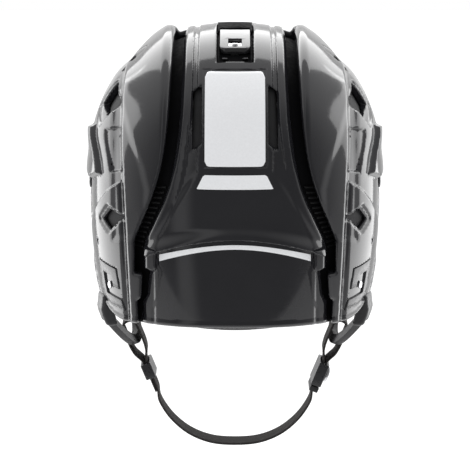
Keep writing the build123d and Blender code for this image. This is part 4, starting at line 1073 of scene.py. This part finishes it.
def rear_region(x, y, z):
    """Behind the crown, clear of the cradle."""
    region = within(outline(SPINE_EDGE, x, z) + 8.6, REAR_FOAM_START - y, -lower_edge(y, z, FOAM_LIFT))
    across = np.abs(x) - CRADLE_HALF - CRADLE_GAP
    cradle = within(slab(z, -60, CRADLE_TOP + CRADLE_GAP), across, -(form(x, y, z) + 7.0))
    return both(region, -cradle, 1.0)


def side_region(x, y, z):
    """The wearer's left side, clear of the rear shell, the flange, the guard's tabs and the screws."""
    base = form(x, y, z)
    behind = FOAM_SEAM - y
    region = within(-x + 2, behind, -lower_edge(y, z, FOAM_LIFT))
    region = both(region, -both(outline(SPINE_EDGE, x, z) + 4.0, behind))
    region = both(region, -within(outline(WING_EDGE, x, z) - 5.6, behind, -(base + 7.4)))
    for py, pz in GUARD_SCREWS:
        region = both(region, -within(slab(y, py - 8.6, py + 8.6), z - pz - 9.1, -(base + 6.0)))
    for place in SCREW_PLACES:
        region = both(region, -both(round_hole(y, z, place, 8.2), -(base + 11.5)), 1.0)
    return region


def block(u, u_low, u_high, v, v_low, v_high, cut):
    """Distance from a rectangle across two directions, on one side of a cut."""
    return within(slab(u, u_low, u_high), slab(v, v_low, v_high), cut)


def seam(value, pitch):
    """Distance from the nearest of the seams sewn across a pad."""
    return (value + pitch / 2) % pitch - pitch / 2


def cushion(edge, channel):
    """A comfort pad: crowned, with sewn channels and drawn-in edges."""
    def shape(x, y, z):
        base, rim = form(x, y, z), edge(x, y, z)
        puff = PAD_PUFF * np.clip(-rim / PAD_EDGE, 0, 1) ** 0.5
        sewn = SEAM_DEPTH * np.exp(-(channel(x, y, z) / SEAM_REACH) ** 2)
        body = both(base + LINER_DEPTH + PAD_GAP, -(base + PAD_DEPTH + puff - sewn), 2.4)
        return both(body, rim, 2.6)
    return shape


class HELMET_OT_foam(bpy.types.Operator):
    """Make the foam liners and the comfort pads"""
    bl_idname = "helmet.foam"
    bl_label = "Foam and pads"

    def execute(self, context):
        cell = sizes().foam_cell
        self.padding(
            cell, 1.0, "closed cell foam", "liner",
            ("front_foam", "front_liner", foam_piece(LINER_FRONT, front_region), "front",
             (-104, -134, 40), (104, -40, 184)),
            ("crown_foam", "crown_liner", foam_piece(CROWN_LINER_FRONT, crown_region), "front",
             (-40, -50, 130), (40, 66, 184)),
            ("rear_foam", "rear_liner", foam_piece(LINER_FRONT, rear_region), "rear",
             (-66, 60, -16), (66, 128, 184)))
        side = foam_piece(LINER_FRONT, side_region)
        left = moulded("side_foam_left", side, (0, -50, -16), (106, 128, 184), cell, False)
        dress_pair(left, "side_foam", "closed cell foam", "liner", "side_liner")
        self.pads(cell * PAD_FINER)
        return {"FINISHED"}

    def padding(self, cell, fill, finish_name, slot, *rows):
        """Padded pieces; a row is piece, node, shape, body and the box that it lies in."""
        for name, node, shape, body, low, high in rows:
            made = moulded(name, shape, low, high, cell)
            dress(made, finish_name, body, slot, node)

    def pads(self, cell):
        """Comfort pads on the liners."""
        forehead = cushion(lambda x, y, z: block(x, -65.5, 65.5, z, 84.4, 111.6, y),
                           lambda x, y, z: seam(np.abs(x), 22))
        crown = cushion(lambda x, y, z: block(x, -31.5, 31.5, y, -31.5, 31.5, 100 - z),
                        lambda x, y, z: seam(y, 20))
        occipital = cushion(lambda x, y, z: block(x, -43.5, 43.5, z, 8.4, 47.6, -y),
                            lambda x, y, z: seam(np.abs(x), 22))
        temple = cushion(lambda x, y, z: block(y, -39.2, 34.3, z, 76.9, 108.7, 2 - x),
                         lambda x, y, z: seam(y, 24))
        self.padding(
            cell, 0.8, "brushed pad", "pad",
            ("forehead_cushion", "forehead_pad", forehead, "front", (-70, -120, 78), (70, -40, 118)),
            ("crown_cushion", "crown_pad", crown, "front", (-36, -36, 138), (36, 36, 168)),
            ("occipital_cushion", "occipital_pad", occipital, "rear", (-48, 60, 2), (48, 110, 54)))
        left = moulded("temple_cushion_left", temple, (50, -44, 70), (90, 40, 116), cell, False)
        dress_pair(left, "temple_cushion", "brushed pad", "pad", "temple_pad")


# ---- guards, latch, hardware and strap ----

class HELMET_OT_cradle(bpy.types.Operator):
    """Mould the occipital cradle whose lip shows below the rear shell"""
    bl_idname = "helmet.cradle"
    bl_label = "Occipital cradle"

    def execute(self, context):
        def shape(x, y, z):
            base = form(x, y, z)
            foot = -7.0 + 4.0 * (np.abs(x) / 47.0) ** 2
            rolled = 0.9 * ramp(z - foot - 3.0, 3.0)
            wall = both(base + 3.4, -(base + 6.2 + rolled), 1.2)
            return both(wall, within(np.abs(x) - CRADLE_HALF, slab(z, -30, CRADLE_TOP), foot - z, -y), 1.6)
        made = moulded("cradle_moulding", shape, (-50, 70, -12), (50, 130, 26), CRADLE_CELL)
        dress(made, "satin black", "rear", "latch", "occipital_cradle")
        return {"FINISHED"}


class HELMET_OT_guards(bpy.types.Operator):
    """Mould the clear ear guards"""
    bl_idname = "helmet.guards"
    bl_label = "Ear guards"

    def execute(self, context):
        left = moulded("ear_guard_pane_left", self.pane, (84, -48, -12), (108, 46, 90), GUARD_CELL,
                       False)
        dress_pair(left, "ear_guard_pane", "clear guard", "clear", "ear_guard")
        return {"FINISHED"}

    @staticmethod
    def pane(x, y, z):
        """A curved pane with three slots, hung on two tabs behind the shell."""
        base = form(x, y, z)
        rim = both(outline(guard_edge, y, z), lower_edge(y, z, -1.5), 2.0)
        pane = both(layer(base, PANE_TOP, PANE_BOTTOM, 0.5), rim, 0.9)
        for k in (-1, 0, 1):
            along = np.maximum(np.abs(z - SLOT_LEVEL) - SLOT_HALF, 0)
            slot = np.sqrt((y - SLOT_PLACE - SLOT_PITCH * k) ** 2 + along ** 2) - SLOT_RADIUS
            pane = both(pane, -slot, 0.8)
        for py, pz in GUARD_SCREWS:
            across = slab(y, py - TAB_HALF, py + TAB_HALF)
            tab = both(layer(base, TAB_TOP, TAB_BOTTOM, 0.5), within(across, slab(z, 50, pz + 8.4)), 1.0)
            below = within(across, slab(z, 42, 90), lower_edge(y, z, -1.6))
            leg = both(layer(base, 0.5, TAB_BOTTOM, 0.5), below, 1.0)
            tab = both(tab, -round_hole(y, z, (py, pz), SCREW_HOLE), 0.4)
            pane = either(either(pane, leg), tab)
        return both(pane, 60 - x)


class HELMET_OT_latch(bpy.types.Operator):
    """Make the crown latch: tray and housing, lever, catch, pin, screws and rack"""
    bl_idname = "helmet.latch"
    bl_label = "Latch"

    def execute(self, context):
        dress_copies(
            2,
            # the housing's near-black, unreflecting finish is painted shade of the latch's recess
            ("latch_base", "latch_housing", 0.45, "matt black", "rear", "latch"),
            ("latch_lever", "latch_lever_arm", 0.6, "latch gloss", "lever", "latch"),
            ("latch_catch", "latch_catch_knob", 0.4, "plated steel", "lever", "steel"),
            ("latch_screws", "latch_tray_screws", 0.2, "black zinc", "rear", "dark_steel"),
            ("latch_pin", "latch_hinge_pin", 0.2, "plated steel", "rear", "steel"),
            ("size_rack", "size_rack_teeth", 0.15, "satin black", "front", "latch"))
        return {"FINISHED"}


class HELMET_OT_hardware(bpy.types.Operator):
    """Make the screws, nuts, studs and cage hooks"""
    bl_idname = "helmet.hardware"
    bl_label = "Screws, studs and hooks"

    def execute(self, context):
        unit = small_part("screw_unit", self.screw, (-5.8, -5.8, -11.6), (5.8, 5.8, 2.6), SCREW_CELL)
        places = []
        for y, z in SCREW_PLACES:
            x, normal = seat_beside(y, z)
            for side in (1, -1):
                out = Vector((side * normal.x, normal.y, normal.z))
                places.append(((side * x, y, z), frame_of(out, Vector((0, 1, 0.6)))))
        heads = repeated("shell_screw_heads", unit, places, "black zinc")
        dress(heads, "black zinc", "front", "dark_steel", "shell_screws")
        dress_copies(
            2,
            ("shell_nuts", "shell_nut_rings", 0.2, "plated steel", "front", "steel"),
            ("cage_nuts", "cage_nut_rings", 0.25, "plated steel", "front", "steel"),
            ("cage_studs", "cage_snap_studs", 0.5, "plated steel", "front", "steel"),
            *((f"cage_hook_{side}", f"cage_hook_frame_{side}", 0.5, "satin black", "front", "latch")
              for side in ("left", "right")))
        return {"FINISHED"}

    @staticmethod
    def screw(x, y, z):
        """A domed head with a cross recess, on its shank; Z = 0 is its seat."""
        ring = np.sqrt(x * x + y * y)
        head = both(ring - HEAD_RADIUS, slab(z, 0.1, 1.9 - 0.026 * ring * ring), 0.5)
        cross = either(both(np.abs(x) - CROSS_LONG, np.abs(y) - CROSS_THIN),
                       both(np.abs(y) - CROSS_LONG, np.abs(x) - CROSS_THIN))
        head = both(head, -both(cross, 0.7 - z), 0.2)
        return either(head, both(ring - SHANK_RADIUS, slab(z, SHANK_END, 0.5)))


class HELMET_OT_ear_loops(bpy.types.Operator):
    """Make the ear loops with their clips and anchors"""
    bl_idname = "helmet.ear_loops"
    bl_label = "Ear loops"

    def execute(self, context):
        dress_copies(3, *((f"{node}_{side}", f"{name}_{side}", width, finish_name, "front", slot)
                          for node, name, width, finish_name, slot in (
                              ("ear_loop", "ear_loop_band", 0.8, "loop rubber", "loop"),
                              ("loop_anchor", "loop_anchor_body", 1.2, "satin black", "latch"))
                          for side in ("left", "right")))
        left = moulded("loop_clip_body_left", self.clip, (84, 40, -24), (112, 64, 10), CLIP_CELL, False)
        dress_pair(left, "loop_clip_body", "clip plastic", "latch", "loop_clip")
        return {"FINISHED"}

    @staticmethod
    def clip(x, y, z):
        """A wedge that hooks over the shell's lower edge, thickest where the loop comes out."""
        base = form(x, y, z)
        stand = CLIP_STAND - 2.6 * np.clip((z + 9.0) / 10.0, 0, 1) - 1.2 * np.clip((-13.0 - z) / 8.0, 0, 1)
        low = both(layer(base, -stand, 2.6, 2.2), slab(z, CLIP_LOW, -7.4), 2.0)
        high = both(layer(base, -stand, -0.3, 1.2), slab(z, CLIP_LOW, 1.6), 2.4)
        body = both(either(low, high, 1.0), within(slab(y, CLIP_FRONT, CLIP_BACK), 60 - x), 2.0)
        groove = both(np.abs(base - 4.6) - 0.5, z + 17.0)
        return both(body, -both(groove, slab(y, 47, 57)), 0.5)


class HELMET_OT_chin_strap(bpy.types.Operator):
    """Make the chin strap with its slider, snap and keeper"""
    bl_idname = "helmet.chin_strap"
    bl_label = "Chin strap"

    def execute(self, context):
        webbing = tape("chin_webbing", self.route(), WEBBING_WIDTH, WEBBING_WALL, LOOP_BOTTOM[1])
        dress(webbing, "woven webbing", "strap", "webbing", "chin_strap")
        dress_copies(
            2,
            ("strap_slider", "strap_slider_body", 0.6, "satin black", "strap", "latch"),
            ("strap_snap_housing", "strap_snap_body", 0.6, "satin black", "strap", "latch"),
            ("strap_keeper", "strap_keeper_ring", 0.4, "loop rubber", "strap", "loop"),
            ("strap_snap_cap", "strap_snap_disc", 0.8, "plated steel", "strap", "steel"))
        return {"FINISHED"}

    @staticmethod
    def route():
        """The tape's path: over each ear loop, back on itself through the fittings, and under the chin."""
        lean = math.radians(STRAP_LEAN)

        def place(down, out):
            """A place by how far down the strap's lean it lies from the ear loop, and how far out."""
            return (LOOP_BOTTOM[0] + out * math.cos(lean) - down * math.sin(lean),
                    LOOP_BOTTOM[2] - down * math.cos(lean) - out * math.sin(lean))
        half = [(42.2, 0.8), (30.0, 0.8), (19.0, 0.8), (14.5, 2.2), (10.0, 4.3), (5.0, 5.2), (0.0, RING_HALF),
                (RING_TOP, RING_HALF)]
        arc = [(RING_TOP - RING_HALF * math.sin(turn), RING_HALF * math.cos(turn))
               for turn in np.linspace(0, math.pi, 9)[1:-1]]
        side = [place(down, out) for down, out in half + arc]
        side += [place(down, -out) for down, out in reversed(half[1:])]
        hanging = [(55.5, -93.5), (47.0, -107.0), (34.0, -118.5), (18.0, -125.3)]
        right = side + [place(41.0, -0.7)] + hanging
        return right + [(0.0, -127.0)] + [(-x, z) for x, z in reversed(right)]


# ---- stage ----

FLOOR_HALF, FLOOR_FAR, FLOOR_NEAR = 5.0, -7.0, 1.2
WHITE = (1, 1, 1, 1)
FLOOR_GLOW, ROOM_LIGHT, ROOM_DIMMING = 0.45, 0.84, -0.76
BRIGHT_TURN = math.radians(34)
BRIGHT_WAY = (math.cos(BRIGHT_TURN), -math.sin(BRIGHT_TURN), 0)
# name, place, target, width, height and power of each lamp
LAMPS = (("top softbox", (0.0, -1.20, 0.98), (0, 0, 0.1), 2.2, 1.2, 20),
         ("left softbox", (1.25, -0.75, 0.0), (0, 0, 0.0), 1.3, 1.6, 17),
         ("right softbox", (-1.25, -0.75, 0.0), (0, 0, 0.0), 1.3, 1.6, 16))
CAMERA_PLACE, CAMERA_TARGET, LENS, SENSOR = (0, 1.4554, 0.4329), (0, 0, 0.0298), 157.9, 36.0


class HELMET_OT_stage(bpy.types.Operator):
    """Set the floor, the light and the camera"""
    bl_idname = "helmet.stage"
    bl_label = "Stage"

    def execute(self, context):
        self.floor(sizes().floor_drop)
        self.world(context.scene)
        for name, place, target, width, height, power in LAMPS:
            light = bpy.data.lights.new(name, "AREA")
            light.shape, light.size, light.size_y, light.energy = "RECTANGLE", width, height, power
            self.aimed(name, light, place, target)
        lens = bpy.data.cameras.new("camera")
        lens.lens, lens.sensor_width = LENS, SENSOR
        context.scene.camera = self.aimed("camera", lens, CAMERA_PLACE, CAMERA_TARGET)
        context.scene.view_settings.view_transform = "Standard"
        return {"FINISHED"}

    def aimed(self, name, data, place, target):
        """A lamp or camera at a place, looking at a target."""
        made = linked(name, data)
        made.location = place
        made.rotation_mode = "QUATERNION"
        made.rotation_quaternion = (Vector(target) - made.location).to_track_quat("-Z", "Y")
        return made

    def floor(self, level):
        """A plain floor that the camera sees as white as the backdrop, with the object's shadow on it."""
        mesh = bpy.data.meshes.new("floor")
        mesh.from_pydata([(side * FLOOR_HALF, y, level) for side, y in (
            (-1, FLOOR_FAR), (1, FLOOR_FAR), (1, FLOOR_NEAR), (-1, FLOOR_NEAR))], [], [(0, 1, 2, 3)])
        made = Finish("pale floor", (0.86, 0.86, 0.86), 0.9, Emission_Color=WHITE)
        made.tint(made.noise(6), (0.85, 0.85, 0.85), (0.88, 0.88, 0.88))
        seen = made.add("ShaderNodeLightPath").outputs["Is Camera Ray"]
        made.show(Emission_Strength=made.reckon("MULTIPLY", seen, FLOOR_GLOW))
        mesh.materials.append(made.material)
        linked("floor", mesh)

    def world(self, scene):
        """Soft white light, and a white backdrop that the gloss sees dimmer behind the helmet's back."""
        scene.world = bpy.data.worlds.new("studio")
        scene.world.use_nodes = True
        room = Graph(scene.world.node_tree)
        soft, end = (room.tree.nodes[name] for name in ("Background", "World Output"))
        room.wire(soft, {"Color": WHITE, "Strength": ROOM_LIGHT})
        ray = room.add("ShaderNodeLightPath").outputs
        way = room.add("ShaderNodeTexCoord").outputs["Generated"]
        back = room.add("ShaderNodeSeparateXYZ", {"Vector": way}).outputs["Y"]
        dim = room.spread(back, 0.0, ROOM_DIMMING, -0.25, 0.75, "SMOOTHSTEP")
        # an upright band at one side behind the camera is less dim than the rest
        aside = room.add("ShaderNodeVectorMath", {0: way, 1: BRIGHT_WAY}, operation="DOT_PRODUCT")
        aside = room.reckon("ABSOLUTE", aside.outputs["Value"])
        beside = room.spread(aside, 0.3, 1.0, 0.04, 0.22, "SMOOTHSTEP")
        dimmed = room.reckon("MULTIPLY", dim, beside)
        strength = room.reckon("MULTIPLY_ADD", dimmed, ray["Is Glossy Ray"], 1.0)
        seen = room.add("ShaderNodeBackground", {"Color": WHITE, "Strength": strength})
        sharp = room.reckon("MAXIMUM", ray["Is Camera Ray"], ray["Is Glossy Ray"])
        sharp = room.reckon("MAXIMUM", sharp, ray["Is Transmission Ray"])
        mix = room.add("ShaderNodeMixShader", {
            "Fac": sharp, 1: soft.outputs["Background"], 2: seen.outputs["Background"]})
        room.wire(end, {"Surface": mix.outputs["Shader"]})


STEPS = (HELMET_OT_stage, HELMET_OT_finishes, HELMET_OT_front_shell, HELMET_OT_rear_shell,
         HELMET_OT_white_panels, HELMET_OT_foam, HELMET_OT_cradle, HELMET_OT_guards, HELMET_OT_latch,
         HELMET_OT_hardware, HELMET_OT_ear_loops, HELMET_OT_chin_strap)


class HELMET_PT_panel(bpy.types.Panel):
    """Lists the helmet's pieces and their values"""
    bl_idname = "HELMET_PT_panel"
    bl_label = "Helmet"
    bl_space_type = "VIEW_3D"
    bl_region_type = "UI"
    bl_category = "Helmet"

    def draw(self, context):
        for group in (context.scene.helmet_finishes, context.scene.helmet_sizes):
            for name in group.__annotations__:
                self.layout.prop(group, name)
        for step in STEPS:
            self.layout.operator(step.bl_idname)


CLASSES = (HelmetFinishes, HelmetSizes, *STEPS, HELMET_PT_panel)


def register():
    for item in CLASSES:
        bpy.utils.register_class(item)
    bpy.types.Scene.helmet_finishes = bpy.props.PointerProperty(type=HelmetFinishes)
    bpy.types.Scene.helmet_sizes = bpy.props.PointerProperty(type=HelmetSizes)


def unregister():
    del bpy.types.Scene.helmet_sizes
    del bpy.types.Scene.helmet_finishes
    for item in reversed(CLASSES):
        bpy.utils.unregister_class(item)


def main():
    register()
    for step in STEPS:
        group, name = step.bl_idname.split(".")
        getattr(getattr(bpy.ops, group), name)()


if __name__ == "__main__":
    main()
